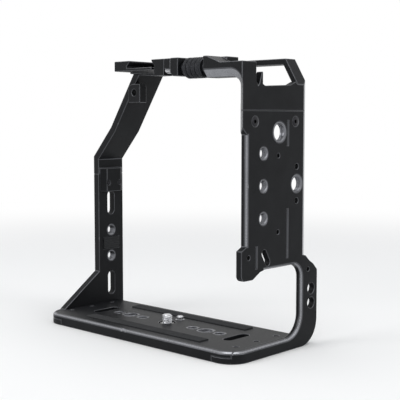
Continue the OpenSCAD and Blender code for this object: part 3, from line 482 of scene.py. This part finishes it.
def machined_copy(node: str, edge_mm: float) -> bpy.types.Object:
    """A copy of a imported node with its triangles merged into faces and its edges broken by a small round.

    Args:
        node: the node's name.
        edge_mm: width of the broken edge.

    Returns:
        The object, with the faces of its broken edges on material 1.
    """
    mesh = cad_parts[node].data.copy()
    mesh.name = node + "_machined"
    mesh.materials.clear()
    bm = bmesh.new()
    bm.from_mesh(mesh)
    bmesh.ops.remove_doubles(bm, verts=bm.verts, dist=NODE_WELD)
    thin = [edge for edge in bm.edges if any(is_sliver(face) for face in edge.link_faces)]
    bmesh.ops.dissolve_degenerate(bm, edges=thin, dist=SLIVER)
    bmesh.ops.dissolve_limit(bm, angle_limit=math.radians(FLAT), verts=bm.verts, edges=bm.edges,
                             delimit={"NORMAL"})
    bm.to_mesh(mesh)
    bm.free()
    for name in ("custom_normal", "sharp_edge", "sharp_face"):
        layer = mesh.attributes.get(name)
        if layer:
            mesh.attributes.remove(layer)
    smoothed(mesh, SHARP_FROM)
    obj = bpy.data.objects.new(node + "_machined", mesh)
    bpy.context.scene.collection.objects.link(obj)
    edge = obj.modifiers.new("broken_edge", "BEVEL")
    edge.limit_method = "ANGLE"
    edge.angle_limit = math.radians(BROKEN_FROM)
    edge.width = edge_mm * MM
    edge.segments = BROKEN_FACETS
    edge.harden_normals = True
    edge.use_clamp_overlap = False
    edge.material = 1
    return obj


def dressed(obj: bpy.types.Object, nodes: tuple[str, ...], body: Body, slot: Slot, *finishes: Finish) -> None:
    """Gives a piece its finishes and its body, hides the nodes that it stands for, and logs it."""
    obj.data.materials.clear()
    for finish in finishes:
        obj.data.materials.append(finish.material())
    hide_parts(*nodes)
    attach(obj, body.value)
    log.info("%s: %d faces on %s", obj.name, len(obj.data.polygons), body.value)


# ---------------------------------------------------------------- sub-assemblies


@dataclass
class Frames:
    """The four machined frames that bolt into a ring."""

    edge: float = 0.4
    bar_chamfer: tuple[float, float] = (4.6, 3.4)
    rear_chamfer: tuple[float, float] = (3.4, 1.6)
    chamfer_back_y: float = -28.0
    side_x: float = 80.5
    base_z: float = 7.0
    base_low_z: float = 5.6
    slack: float = 0.05
    rear_slack: float = 0.02
    nodes: tuple[str, ...] = ("top_frame", "left_side_frame", "right_strap", "base_plate")

    def painted_highlight_chamfers(self, normals: np.ndarray, centres: np.ndarray) -> np.ndarray:
        """Tells the faces of the wide chamfers, which carry the painted highlight, from the rest by where they
        look and lie.

        The chamfer round the front keeps one slope towards the front: its height over the length of its
        slant. The one up the rear edge keeps one slope towards the left. Those of the battery opening and the
        finger recess lean 45 degrees to the left side's face, and the base's one 45 degrees to its top. Each
        slope may be off by slack, or by rear_slack.

        Args:
            normals: an array of faces x 3.
            centres: the faces' middles in millimetres, of the same shape.

        Returns:
            A truth value for each face.
        """
        x, y, z = centres.T
        left, rear, up = normals.T
        above = z > self.base_z
        outside = above & (x > self.side_x)
        half = math.sqrt(0.5)
        height, depth = self.bar_chamfer
        on_bar = np.abs(rear + height / math.hypot(height, depth)) < self.slack
        on_bar &= above & (y < self.chamfer_back_y)
        height, depth = self.rear_chamfer
        on_rear = (np.abs(left - height / math.hypot(height, depth)) < self.rear_slack) & outside
        on_side = (np.abs(left - half) < self.slack) & outside
        on_base = (np.abs(up - half) < self.slack) & (z > self.base_low_z) & (z < self.base_z)
        return on_bar | on_rear | on_side | on_base

    def build(self) -> None:
        """Makes each frame with broken edges and wide chamfers, each coloured paler as a painted highlight, the
        edges also worn.
        """
        for node in self.nodes:
            obj = machined_copy(node, self.edge)
            mesh = obj.data
            normals, centres = (np.zeros(len(mesh.polygons) * 3, np.float32) for _ in range(2))
            mesh.polygons.foreach_get("normal", normals)
            mesh.polygons.foreach_get("center", centres)
            cut = self.painted_highlight_chamfers(normals.reshape(-1, 3), centres.reshape(-1, 3) / MM)
            dressed(obj, (node,), Body.FRAME, Slot.FRAME, BLASTED, EDGE_WEAR_AND_PAINTED_HIGHLIGHT, CHAMFER_PAINTED_HIGHLIGHT)
            # The wide chamfers take material 2, a grey that is a painted highlight; the broken edges keep
            # material 1, paler as a painted highlight and with wear.
            mesh.polygons.foreach_set("material_index", np.where(cut, 2, 0).astype(np.int32))
            mesh.update()


@dataclass
class HandleClamp:
    """The captive thumbwheel, its screw and the jaw that it draws against a rail."""

    axis_y: float = -25.4
    axis_z: float = 162.0
    wheel_x: float = 37.0
    wheel_l: float = 13.5
    wheel_r: float = 6.0
    collar_r: float = 4.0
    collar_l: float = 2.7
    bore_r: float = 2.53
    chamfer: float = 0.8
    ring_w: float = 0.8
    ring_depth: float = 0.5
    ring_count: int = 3
    collar_chamfer: float = 0.4
    knurl_depth: float = 0.35
    knurl_count: int = 40
    knurl_crest: float = 1.6
    pin_x: float = 35.5
    pin_d: float = 1.5
    pin_l: float = 7.4
    screw_x: tuple[float, float] = (13.9, 59.5)
    screw_d: float = 5.0
    thread_l: float = 16.0
    thread_pitch: float = 0.8
    thread_depth: float = 0.45
    guide_x: tuple[float, float] = (14.6, 28.6)
    guide_y: tuple[float, float] = (-16.6, -12.2)
    guide_z: float = 165.9
    guide_d: float = 2.0

    def thumbwheel(self) -> bpy.types.Object:
        """The knurled barrel between its collars.

        The outside is radius(x) less the knurl's depth times the lower of two triangle waves that wind
        opposite ways, which leaves diamonds with flat crests. Ring grooves and chamfers have no knurl.
        """
        turns, rows = 288, 200
        x = np.linspace(-self.collar_l, self.wheel_l + self.collar_l, rows)
        steps = np.array([0.0, self.wheel_l])
        x = np.sort(np.concatenate([x, steps - 1e-3, steps + 1e-3]))
        end = np.minimum(x, self.wheel_l - x)
        barrel = end >= 0
        r = np.where(barrel, self.wheel_r - np.clip(self.chamfer - end, 0, self.chamfer), self.collar_r)
        tip = np.minimum(x + self.collar_l, self.wheel_l + self.collar_l - x)
        r = np.where(barrel, r, self.collar_r - np.clip(self.collar_chamfer - tip, 0, self.collar_chamfer))
        centres = np.arange(1, self.ring_count + 1) * self.wheel_l / (self.ring_count + 1)
        from_ring = np.abs(x[:, None] - centres).min(1)
        groove = from_ring < self.ring_w / 2
        r = np.where(barrel & groove, self.wheel_r - self.ring_depth, r)
        knurled = (barrel & ~groove & (end > self.chamfer * 0.6)).astype(float)
        turn = np.linspace(0, 1, turns, endpoint=False)[None, :]
        wind = x[:, None] / (2 * math.pi * self.wheel_r)
        wave = np.minimum(triangle_wave(self.knurl_count * (turn + wind)),
                          triangle_wave(self.knurl_count * (turn - wind)))
        radius = r[:, None] - self.knurl_depth * (1 - np.clip(self.knurl_crest * wave, 0, 1)) * knurled[:, None]
        # The cross pin's hole: points of the collar within the pin's radius of its axis go in
        gap, under_tip = 0.05, 0.3
        across = r[:, None] * np.cos(2 * math.pi * turn)
        off = np.hypot(x[:, None] + self.wheel_x - self.pin_x, across)
        radius = np.where(off < self.pin_d / 2 + gap, np.minimum(radius, self.pin_l / 2 - under_tip), radius)
        along = np.concatenate([x, [x[-1], x[0]]]) + self.wheel_x
        radius = np.concatenate([radius, np.full((2, turns), self.bore_r)])
        skin = Skin()
        skin.add(rings(along, radius, (0, self.axis_y, self.axis_z), Axis.PLUS_X, turns), close_rows=True)
        return skin.build("thumbwheel_knurled", 40)

    def screw(self) -> bpy.types.Object:
        """The clamp screw: threaded at the jaw's end, plain through the wheel, chamfered at both ends."""
        start, end = self.screw_x
        turns, rows, length, end_l = 40, 460, end - start, 0.3
        r = self.screw_d / 2
        z = np.linspace(end_l, length - end_l, rows)
        thread = thread_radius(z, turns, self.thread_pitch, r - self.thread_depth, r, 0, self.thread_l)
        run = np.where(z < self.thread_l, thread.T, r - 0.02).T
        along = np.concatenate([[0, 0], z, [length, length]])
        radius = np.concatenate([np.zeros((1, turns)), np.full((1, turns), r - 0.5), run,
                                 np.full((1, turns), r - 0.4), np.zeros((1, turns))])
        skin = Skin()
        skin.add(rings(along, radius, (start, self.axis_y, self.axis_z), Axis.PLUS_X, turns))
        return skin.build("clamp_screw_threaded")

    def build(self) -> None:
        """Makes the wheel, its screw and pin, and the jaw with its guide pins."""
        dressed(self.thumbwheel(), ("thumbwheel",), Body.WHEEL, Slot.WHEEL, KNURLED)
        dressed(self.screw(), ("clamp_screw",), Body.WHEEL, Slot.BRIGHT, STAINLESS)
        skin = Skin()
        pin_low = (self.pin_x, self.axis_y, self.axis_z - self.pin_l / 2)
        plain_pin(skin, pin_low, Axis.PLUS_Z, self.pin_d, self.pin_l)
        dressed(skin.build("thumbwheel_cross_pin"), ("thumbwheel_pin",), Body.WHEEL, Slot.BRIGHT, STAINLESS)
        # The jaw's broken edges take the paler edge finish: a painted highlight, with rubbed wear.
        dressed(machined_copy("clamp_jaw", 0.3), ("clamp_jaw",), Body.JAW, Slot.FRAME, BLASTED, EDGE_WEAR_AND_PAINTED_HIGHLIGHT)
        skin = Skin()
        near, far = self.guide_x
        for y in self.guide_y:
            plain_pin(skin, (near, y, self.guide_z), Axis.PLUS_X, self.guide_d, far - near)
        dressed(skin.build("jaw_guide_pins_ground"), ("jaw_guide_pins",), Body.JAW, Slot.BRIGHT, STAINLESS)


@dataclass
class CameraFixing:
    """The screw that holds the camera, its clip and folding ring, and the locating pin beside it."""

    y: float = -6.5
    head_r: float = 6.5
    head_z: tuple[float, float] = (2.1, 3.3)
    head_rim: float = 0.35
    notch_depth: float = 0.22
    notch_count: int = 32
    shaft_r: float = 3.175
    minor_r: float = 2.6
    tip_z: float = 12.0
    neck_z: tuple[float, float] = (5.87, 6.63)
    neck_r: float = 2.6
    hinge_y: float = -9.5
    hinge_z: float = 1.15
    lug: tuple[float, float, float] = (6.0, 3.2, 0.1)
    lug_power: float = 0.45
    ring_r: float = 6.0
    wire_r: float = 0.7
    pin_y: float = 5.0
    pin_r: float = 2.2
    shank_r: float = 2.8
    pin_z: tuple[float, float, float] = (3.5, 7.0, 9.2)

    def screw(self) -> bpy.types.Object:
        """The screw: a thin head with a notched rim, a necked shaft, and a thread up to a chamfered tip."""
        turns = 96
        one = np.ones(turns)
        low, high = self.head_z
        neck, shoulder = self.neck_z
        face_r = self.head_r - self.head_rim
        t = np.linspace(0, 2 * math.pi, turns, endpoint=False)
        rim = self.head_r - self.notch_depth * (np.cos(t * self.notch_count) > 0.2)
        z = np.linspace(shoulder + 0.1, self.tip_z - 0.5, 48)
        thread = thread_radius(z, turns, QUARTER_INCH.pitch, self.minor_r, self.shaft_r, shoulder,
                               self.tip_z + 1)
        rows = [(low, 0 * one), (low, face_r * one), (low + 0.2, rim), (high - 0.2, rim), (high, face_r * one),
                (high, self.shaft_r * one), (neck, self.shaft_r * one), (neck, self.neck_r * one),
                (shoulder, self.neck_r * one), (shoulder, self.shaft_r * one)]
        along = np.concatenate([[r[0] for r in rows], z, [self.tip_z, self.tip_z]])
        radius = np.concatenate([np.array([r[1] for r in rows]), thread,
                                 [(self.minor_r - 0.3) * one, 0 * one]])
        skin = Skin()
        skin.add(rings(along, radius, (0, self.y, 0), Axis.PLUS_Z, turns))
        skin.add(self.lug_loops(), close_rows=True)
        return skin.build("camera_screw_threaded")

    def lug_loops(self) -> np.ndarray:
        """The hinge lug: a rounded block round a hole, as loops over its outside and back through the hole.

        The outside is a rounded rectangle: a circle's cosine and sine, each raised to lug_power with its
        sign kept. The block ends inside the screw's head.
        """
        width, depth, low = self.lug
        high = self.head_z[0] + 0.3
        t = np.linspace(0, 2 * math.pi, 48, endpoint=False)
        c, s = np.cos(t), np.sin(t)
        half_y, half_z, mid = depth / 2, (high - low) / 2, (high + low) / 2
        outer = np.stack([self.hinge_y + half_y * np.sign(c) * np.abs(c) ** self.lug_power,
                          mid + half_z * np.sign(s) * np.abs(s) ** self.lug_power], -1)
        hole_r = self.wire_r + 0.06
        hole = np.stack([self.hinge_y + hole_r * c, self.hinge_z + hole_r * s], -1)
        loops = [(-width / 2, hole), (-width / 2, outer), (width / 2, outer), (width / 2, hole)]
        return np.stack([np.column_stack([np.full(len(t), x), loop]) for x, loop in loops])

    def ring(self) -> bpy.types.Object:
        """The D-shaped ring of round wire: half a circle, two short arms and the bar that turns in the lug."""
        r, arm, corner = self.ring_r, self.y - self.hinge_y, 0.9
        mirror = np.array([-1.0, 1.0])
        half = np.linspace(0, math.pi, 40)
        bend = np.linspace(0, math.pi / 2, 7)
        bow = np.column_stack([r * np.cos(half), self.y + r * np.sin(half)])
        left = np.column_stack([-r + corner - corner * np.cos(bend),
                                self.hinge_y + corner - corner * np.sin(bend)])
        right = left[::-1] * mirror
        bar = np.column_stack([np.linspace(-r + corner + 0.3, r - corner - 0.3, 12), np.full(12, self.hinge_y)])
        steps = np.linspace(0, 1, 4)[1:-1]
        down = np.column_stack([np.full(2, -r), self.y - (arm - corner) * steps])
        path = np.concatenate([bow, down, left, bar, right, down[::-1] * mirror])
        path = np.column_stack([path, np.full(len(path), self.hinge_z)])
        skin = Skin()
        skin.add(swept_tube(path, self.wire_r), close_rows=True)
        return skin.build("d_ring_wire")

    def pin(self) -> bpy.types.Object:
        """The locating pin: a shank in the base and a chamfered peg above it."""
        low, step, top = self.pin_z
        chamfer = 0.6
        skin = Skin()
        z = np.array([low, low, step, step, top - chamfer, top, top])
        r = np.array([0, self.shank_r, self.shank_r, self.pin_r, self.pin_r, self.pin_r - chamfer, 0])
        skin.add(rings(z, r, (0, self.pin_y, 0), Axis.PLUS_Z))
        return skin.build("camera_locating_pin_turned")

    def build(self) -> None:
        """Makes the screw, its clip and ring, and the pin."""
        dressed(self.screw(), ("camera_screw",), Body.SCREW, Slot.BRIGHT, STAINLESS)
        dressed(machined_copy("camera_screw_clip", 0.12), ("camera_screw_clip",), Body.SCREW, Slot.JOINT,
                BLACK_OXIDE, BLACK_OXIDE)
        dressed(self.ring(), ("d_ring",), Body.RING, Slot.BRIGHT, STAINLESS)
        dressed(self.pin(), ("camera_locating_pin",), Body.FRAME, Slot.BRIGHT, STAINLESS)


@dataclass
class JointScrews:
    """Countersunk screws and dowels that hold the frames together."""

    d: float = 3.0
    head_d: float = 5.61
    head_h: float = 1.71
    left: tuple = ((82, -20.4, 132), (82, 15.5, 132))
    left_l: float = 7.6
    right: tuple = ((-82, 10.5, 90), (-82, 20.5, 90))
    right_l: float = 8.6
    lap_x: float = 72.0
    lap_y: tuple[float, float, float] = (-24.0, -6.5, 12.0)
    lap_l: float = 6.5
    dowel_y: tuple[float, float] = (-15.25, 2.75)
    dowel_z: float = 1.0
    dowel_d: float = 2.5
    dowel_l: float = 5.0

    def set_of(self, name: str, node: str, heads: tuple, axis: Axis, length: float) -> None:
        """Makes one set of equal screws as one piece."""
        skin = Skin()
        for head in heads:
            socket_screw(skin, head, axis, self.d, length, self.head_d, self.head_h)
        dressed(skin.build(name), (node,), Body.FRAME, Slot.JOINT, BLACK_OXIDE)

    def build(self) -> None:
        """Makes the three sets of joint screws and the dowels."""
        laps = tuple((s * self.lap_x, y, 0.0) for s in (-1, 1) for y in self.lap_y)
        self.set_of("left_seam_socket_screws", "left_seam_screws", self.left, Axis.MINUS_X, self.left_l)
        self.set_of("right_seam_socket_screws", "right_seam_screws", self.right, Axis.PLUS_X, self.right_l)
        self.set_of("lap_socket_screws", "lap_screws", laps, Axis.PLUS_Z, self.lap_l)
        skin = Skin()
        for s in (-1, 1):
            for y in self.dowel_y:
                plain_pin(skin, (s * self.lap_x, y, self.dowel_z), Axis.PLUS_Z, self.dowel_d, self.dowel_l)
        dressed(skin.build("lap_dowels_ground"), ("lap_dowels",), Body.FRAME, Slot.BRIGHT, STAINLESS)


@dataclass
class ThreadSleeves:
    """The tapped steel sleeves in the frames, and the plain bushing for a strap swivel."""

    side_x: float = 78.0
    side_l: float = 4.0
    side_at: tuple = ((-13.0, 78.5), (-13.0, 96.5), (-13.0, 114.5))
    location_at: tuple[float, float] = (17.0, 96.5)
    top_at: tuple = ((9.0, 18.5), (27.0, 18.5))
    top_z: float = 162.0
    top_l: float = 6.0
    base_y: float = -6.5
    base_l: float = 7.0
    base_x: tuple[float, ...] = (-44.0, -22.0, 22.0, 44.0)
    base_large_x: tuple[float, float] = (-33.0, 33.0)
    strap_x: float = -82.0
    strap_l: float = 5.0
    strap_at: tuple = ((15.5, 39.0), (15.5, 57.0))
    bushing_at: tuple[float, float] = (1.0, 126.0)
    bushing_r: tuple[float, float] = (5.97, 4.75)

    def sleeve_set(self, name: str, node: str, size: ThreadSize, starts: list, axis: Axis,
                   length: float) -> None:
        """Makes the equal sleeves of one frame as one piece."""
        skin = Skin()
        for start in starts:
            thread_sleeve(skin, start, axis, size, length)
        dressed(skin.build(name), (node,), Body.FRAME, Slot.INSERT, SLEEVE)

    def bushing(self) -> bpy.types.Object:
        """The strap bushing: chamfered mouths and an inner groove that the swivel's balls lock into."""
        outer, bore = self.bushing_r
        end, chamfer, mouth, groove = self.side_l, 0.15, 0.4, 0.5
        profile = [(0.0, outer - chamfer), (chamfer, outer), (end - chamfer, outer), (end, outer - chamfer),
                   (end, bore + mouth), (end - mouth, bore), (2.9, bore), (2.6, bore + groove),
                   (1.6, bore + groove), (1.3, bore), (mouth, bore), (0.0, bore + mouth)]
        x, r = np.array(profile).T
        skin = Skin()
        skin.add(rings(x, r, (self.side_x, *self.bushing_at), Axis.PLUS_X), close_rows=True)
        return skin.build("strap_bushing_turned", 20)

    def build(self) -> None:
        """Makes every set of sleeves and the bushing."""
        self.sleeve_set("side_thread_sleeves", "side_thread_inserts", QUARTER_INCH,
                        [(self.side_x, *p) for p in self.side_at], Axis.PLUS_X, self.side_l)
        self.sleeve_set("side_location_sleeve", "side_location_insert", THREE_EIGHTHS,
                        [(self.side_x, *self.location_at)], Axis.PLUS_X, self.side_l)
        self.sleeve_set("top_thread_sleeves", "top_thread_inserts", QUARTER_INCH,
                        [(*p, self.top_z) for p in self.top_at], Axis.PLUS_Z, self.top_l)
        self.sleeve_set("base_thread_sleeves", "base_thread_inserts", QUARTER_INCH,
                        [(x, self.base_y, 0.0) for x in self.base_x], Axis.PLUS_Z, self.base_l)
        self.sleeve_set("base_location_sleeves", "base_location_inserts", THREE_EIGHTHS,
                        [(x, self.base_y, 0.0) for x in self.base_large_x], Axis.PLUS_Z, self.base_l)
        self.sleeve_set("strap_thread_sleeves", "strap_thread_inserts", QUARTER_INCH,
                        [(self.strap_x, *p) for p in self.strap_at], Axis.PLUS_X, self.strap_l)
        dressed(self.bushing(), ("strap_bushing",), Body.FRAME, Slot.INSERT, SLEEVE)


@dataclass
class Pads:
    """Ribbed silicone pads that keep the frame off the camera."""

    rib_pitch: float = 1.6
    rib_depth: float = 0.3
    corner: float = 0.35
    base_y: tuple[float, float] = (-26.5, 13.5)

    def block(self, skin: Skin, low: np.ndarray, high: np.ndarray, length_axis: int, face_axis: int,
              face_side: int) -> None:
        """Adds one pad whose outer face has ribs along its length.

        The cross-section is a rectangle; its outer side is lowered by the rib's depth times the square of a
        cosine wave across the width. It is carried along the length, drawn in at both ends and closed there.

        Args:
            skin: where the pad goes.
            low: lowest corner.
            high: highest corner.
            length_axis: axis along the ribs.
            face_axis: axis square to the ribbed face.
            face_side: 1 where the ribbed face looks along that axis, -1 where it looks back.
        """
        wide_axis = 3 - length_axis - face_axis
        size, mid = high - low, (high + low) / 2
        ribs = round(size[wide_axis] / self.rib_pitch)
        across = np.linspace(-0.5, 0.5, 6 * max(3, ribs) + 1)
        w = across * size[wide_axis]
        edge = np.clip((size[wide_axis] / 2 - np.abs(w)) / self.corner, 0, 1)
        top = size[face_axis] / 2 - self.rib_depth * np.cos(math.pi * ribs * (across + 0.5)) ** 2 * edge
        top -= self.corner * (1 - np.sqrt(1 - (1 - edge) ** 2))
        loop_w = np.concatenate([w, [w[-1], w[0]]])
        loop_t = np.concatenate([top, [-size[face_axis] / 2] * 2])
        half, bevel, corner = size[length_axis] / 2, 0.1, self.corner
        along = np.array([-half, -half, -half + bevel, -half + corner, half - corner, half - bevel, half, half])
        draw = np.array([0.0, 0.93, 0.975, 1.0, 1.0, 0.975, 0.93, 0.0])
        grid = np.zeros((len(along), len(loop_w), 3))
        grid[..., length_axis] = mid[length_axis] + along[:, None]
        grid[..., wide_axis] = mid[wide_axis] + draw[:, None] * loop_w
        grid[..., face_axis] = mid[face_axis] + face_side * draw[:, None] * loop_t
        skin.add(grid)

    def single(self, name: str, node: str, length_axis: int, face_axis: int, face_side: int) -> None:
        """Makes one pad in the box of its node."""
        low, high = (np.array(v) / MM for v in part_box(node))
        skin = Skin()
        self.block(skin, low, high, length_axis, face_axis, face_side)
        dressed(skin.build(name, 50), (node,), Body.FRAME, Slot.PAD, RUBBER)

    def build(self) -> None:
        """Makes the two base pads as one piece and the side, strap and top pads."""
        low, high = (np.array(v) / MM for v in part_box("base_pads"))
        half_w = (high[1] - low[1] - (self.base_y[1] - self.base_y[0])) / 2
        skin = Skin()
        for y in self.base_y:
            self.block(skin, np.array([low[0], y - half_w, low[2]]),
                       np.array([high[0], y + half_w, high[2]]), 0, 2, 1)
        dressed(skin.build("base_pads_ribbed", 50), ("base_pads",), Body.FRAME, Slot.PAD, RUBBER)
        self.single("side_pad_ribbed", "side_pad", 2, 0, -1)
        self.single("strap_pad_ribbed", "strap_pad", 1, 0, 1)
        self.single("top_pad_ribbed", "top_pad", 1, 2, -1)


@dataclass
class AccessoryShoe:
    """The folded sheet-steel shoe and its two small screws."""

    x: float = -16.0
    floor_z: float = 165.0
    screw_y: tuple[float, float] = (11.5, 21.5)
    screw_d: float = 2.0
    screw_l: float = 2.8
    head_d: float = 3.6
    head_h: float = 0.8

    def build(self) -> None:
        """Makes the shoe with rolled edges, and its screws."""
        dressed(machined_copy("cold_shoe", 0.18), ("cold_shoe",), Body.FRAME, Slot.SHOE, SHEET, SHEET)
        skin = Skin()
        for y in self.screw_y:
            socket_screw(skin, (self.x, y, self.floor_z), Axis.MINUS_Z, self.screw_d, self.screw_l,
                         self.head_d, self.head_h)
        dressed(skin.build("shoe_socket_screws"), ("cold_shoe_screws",), Body.FRAME, Slot.JOINT, BLACK_OXIDE)


# ---------------------------------------------------------------- studio


@dataclass
class Studio:
    """Pale floor and backdrop, soft lamps and the camera.

    Places and the floor's radii are in metres; floor_drop, how far it lies below the cage, is in millimetres.
    """

    eye: tuple[float, float, float] = (0.3978, -0.4017, 0.1327)
    aim: tuple[float, float, float] = (0.022, 0.0, 0.0845)
    lens_mm: float = 82.0
    sensor_mm: float = 36.0
    floor_r: float = 4.0
    floor_tone: str = "#f4f4f3"
    floor_fade: tuple[float, float] = (0.22, 0.9)
    floor_drop: float = 0.05
    horizon: str = "#ffffff"
    sky_tone: str = "#f2f5fa"
    sky_strength: float = 0.45
    lamp_aim: tuple[float, float, float] = (0.0, 0.0, 0.1)

    def camera(self) -> None:
        """Sets the camera: level with the cage's upper part, off its near front corner."""
        cam = bpy.data.cameras.new("studio_camera")
        cam.lens, cam.sensor_width, cam.sensor_fit = self.lens_mm, self.sensor_mm, "HORIZONTAL"
        cam.clip_start, cam.clip_end = 0.01, 30.0
        obj = bpy.data.objects.new("studio_camera", cam)
        bpy.context.scene.collection.objects.link(obj)
        ahead = np.array(self.aim) - np.array(self.eye)
        pitch = math.atan2(ahead[2], math.hypot(ahead[0], ahead[1]))
        obj.location = self.eye
        obj.rotation_euler = (math.pi / 2 + pitch, 0.0, math.atan2(-ahead[0], ahead[1]))
        bpy.context.scene.camera = obj

    def seen_ray(self, tree: bpy.types.NodeTree) -> bpy.types.NodeSocket:
        """1 for rays that show the background: from the camera, a mirror or through glass."""
        path = add_node(tree, "ShaderNodeLightPath")
        first = add_node(tree, "ShaderNodeMath",
                         {0: path.outputs["Is Camera Ray"], 1: path.outputs["Is Glossy Ray"]},
                         operation="MAXIMUM").outputs[0]
        return add_node(tree, "ShaderNodeMath", {0: first, 1: path.outputs["Is Transmission Ray"]},
                        operation="MAXIMUM").outputs[0]

    def floor(self) -> None:
        """A wide pale sheet under the cage: rings out to its edge.

        It shows its own light and shadow near the cage and turns to the surround's white further off.
        """
        skin = Skin()
        r = np.array([0.0, 0.2, 0.6, 1.5, self.floor_r]) / MM
        skin.add(rings(np.zeros(len(r)), r, (0, 0, -self.floor_drop), Axis.PLUS_Z, 64))
        obj = skin.build("studio_floor")
        mat = bpy.data.materials.new("matt_white_paper")
        mat.use_nodes = True
        tree = mat.node_tree
        tree.nodes.clear()
        place = add_node(tree, "ShaderNodeTexCoord").outputs["Object"]
        fibre = noise(tree, place, 2.0, 2.0, 0.5)
        bump = add_node(tree, "ShaderNodeBump",
                        {"Height": fibre, "Distance": 0.02 * MM, "Strength": 0.3}).outputs[0]
        paper = add_node(tree, "ShaderNodeBsdfPrincipled",
                         {"Base Color": linear_rgba(self.floor_tone), "Roughness": 0.9, "Normal": bump})
        near, far = self.floor_fade
        distance = add_node(tree, "ShaderNodeVectorMath", {0: place}, operation="LENGTH").outputs["Value"]
        away = add_node(tree, "ShaderNodeMapRange", {"Value": distance, "From Min": near, "From Max": far},
                        interpolation_type="SMOOTHERSTEP").outputs[0]
        fade = add_node(tree, "ShaderNodeMath", {0: away, 1: self.seen_ray(tree)},
                        operation="MULTIPLY").outputs[0]
        white = add_node(tree, "ShaderNodeEmission", {"Color": linear_rgba(self.horizon), "Strength": 1.0})
        both = add_node(tree, "ShaderNodeMixShader", {0: fade, 1: paper.outputs[0], 2: white.outputs[0]})
        add_node(tree, "ShaderNodeOutputMaterial", {"Surface": both.outputs[0]})
        obj.data.materials.append(mat)

    def world(self) -> None:
        """A white surround as seen, and a softer one as a light."""
        world = bpy.data.worlds.new("studio_surround")
        bpy.context.scene.world = world
        world.use_nodes = True
        tree = world.node_tree
        tree.nodes.clear()
        seen = add_node(tree, "ShaderNodeBackground", {"Color": linear_rgba(self.horizon), "Strength": 1.0})
        lit = add_node(tree, "ShaderNodeBackground",
                       {"Color": linear_rgba(self.sky_tone), "Strength": self.sky_strength})
        both = add_node(tree, "ShaderNodeMixShader",
                        {0: self.seen_ray(tree), 1: lit.outputs[0], 2: seen.outputs[0]})
        add_node(tree, "ShaderNodeOutputWorld", {"Surface": both.outputs[0]})

    def lamp(self, name: str, place: tuple, size: tuple[float, float], watts: float) -> None:
        """Adds a soft rectangular lamp that looks at lamp_aim.

        Args:
            name: the lamp's name.
            place: where it stands, in metres.
            size: its width and height.
            watts: its power.
        """
        data = bpy.data.lights.new(name, "AREA")
        data.shape, data.size, data.size_y, data.energy = "RECTANGLE", *size, watts
        obj = bpy.data.objects.new(name, data)
        bpy.context.scene.collection.objects.link(obj)
        ahead = np.array(self.lamp_aim) - np.array(place)
        obj.location = place
        obj.rotation_euler = (math.atan2(math.hypot(ahead[0], ahead[1]), -ahead[2]), 0.0,
                              math.atan2(-ahead[0], ahead[1]))
        obj.visible_camera = False

    def build(self) -> None:
        """Makes the camera, floor, surround and lamps, and sets plain colour."""
        self.camera()
        self.floor()
        self.world()
        self.lamp("lamp_overhead", (0.1, -0.1, 1.3), (1.2, 1.2), 9.0)
        self.lamp("lamp_front", (-0.5, -1.2, 0.7), (0.9, 0.7), 7.0)
        self.lamp("lamp_side", (1.3, 0.3, 0.6), (0.7, 0.9), 5.0)
        bpy.context.scene.view_settings.view_transform = "Standard"


def main() -> None:
    """Builds the studio and each sub-assembly in order."""
    logging.basicConfig(level=logging.INFO, format="%(name)s: %(message)s")
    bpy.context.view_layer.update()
    for part in (Studio(), Frames(), HandleClamp(), CameraFixing(), JointScrews(), ThreadSleeves(), Pads(),
                 AccessoryShoe()):
        log.info("building %s", type(part).__name__)
        part.build()


if __name__ == "__main__":
    main()
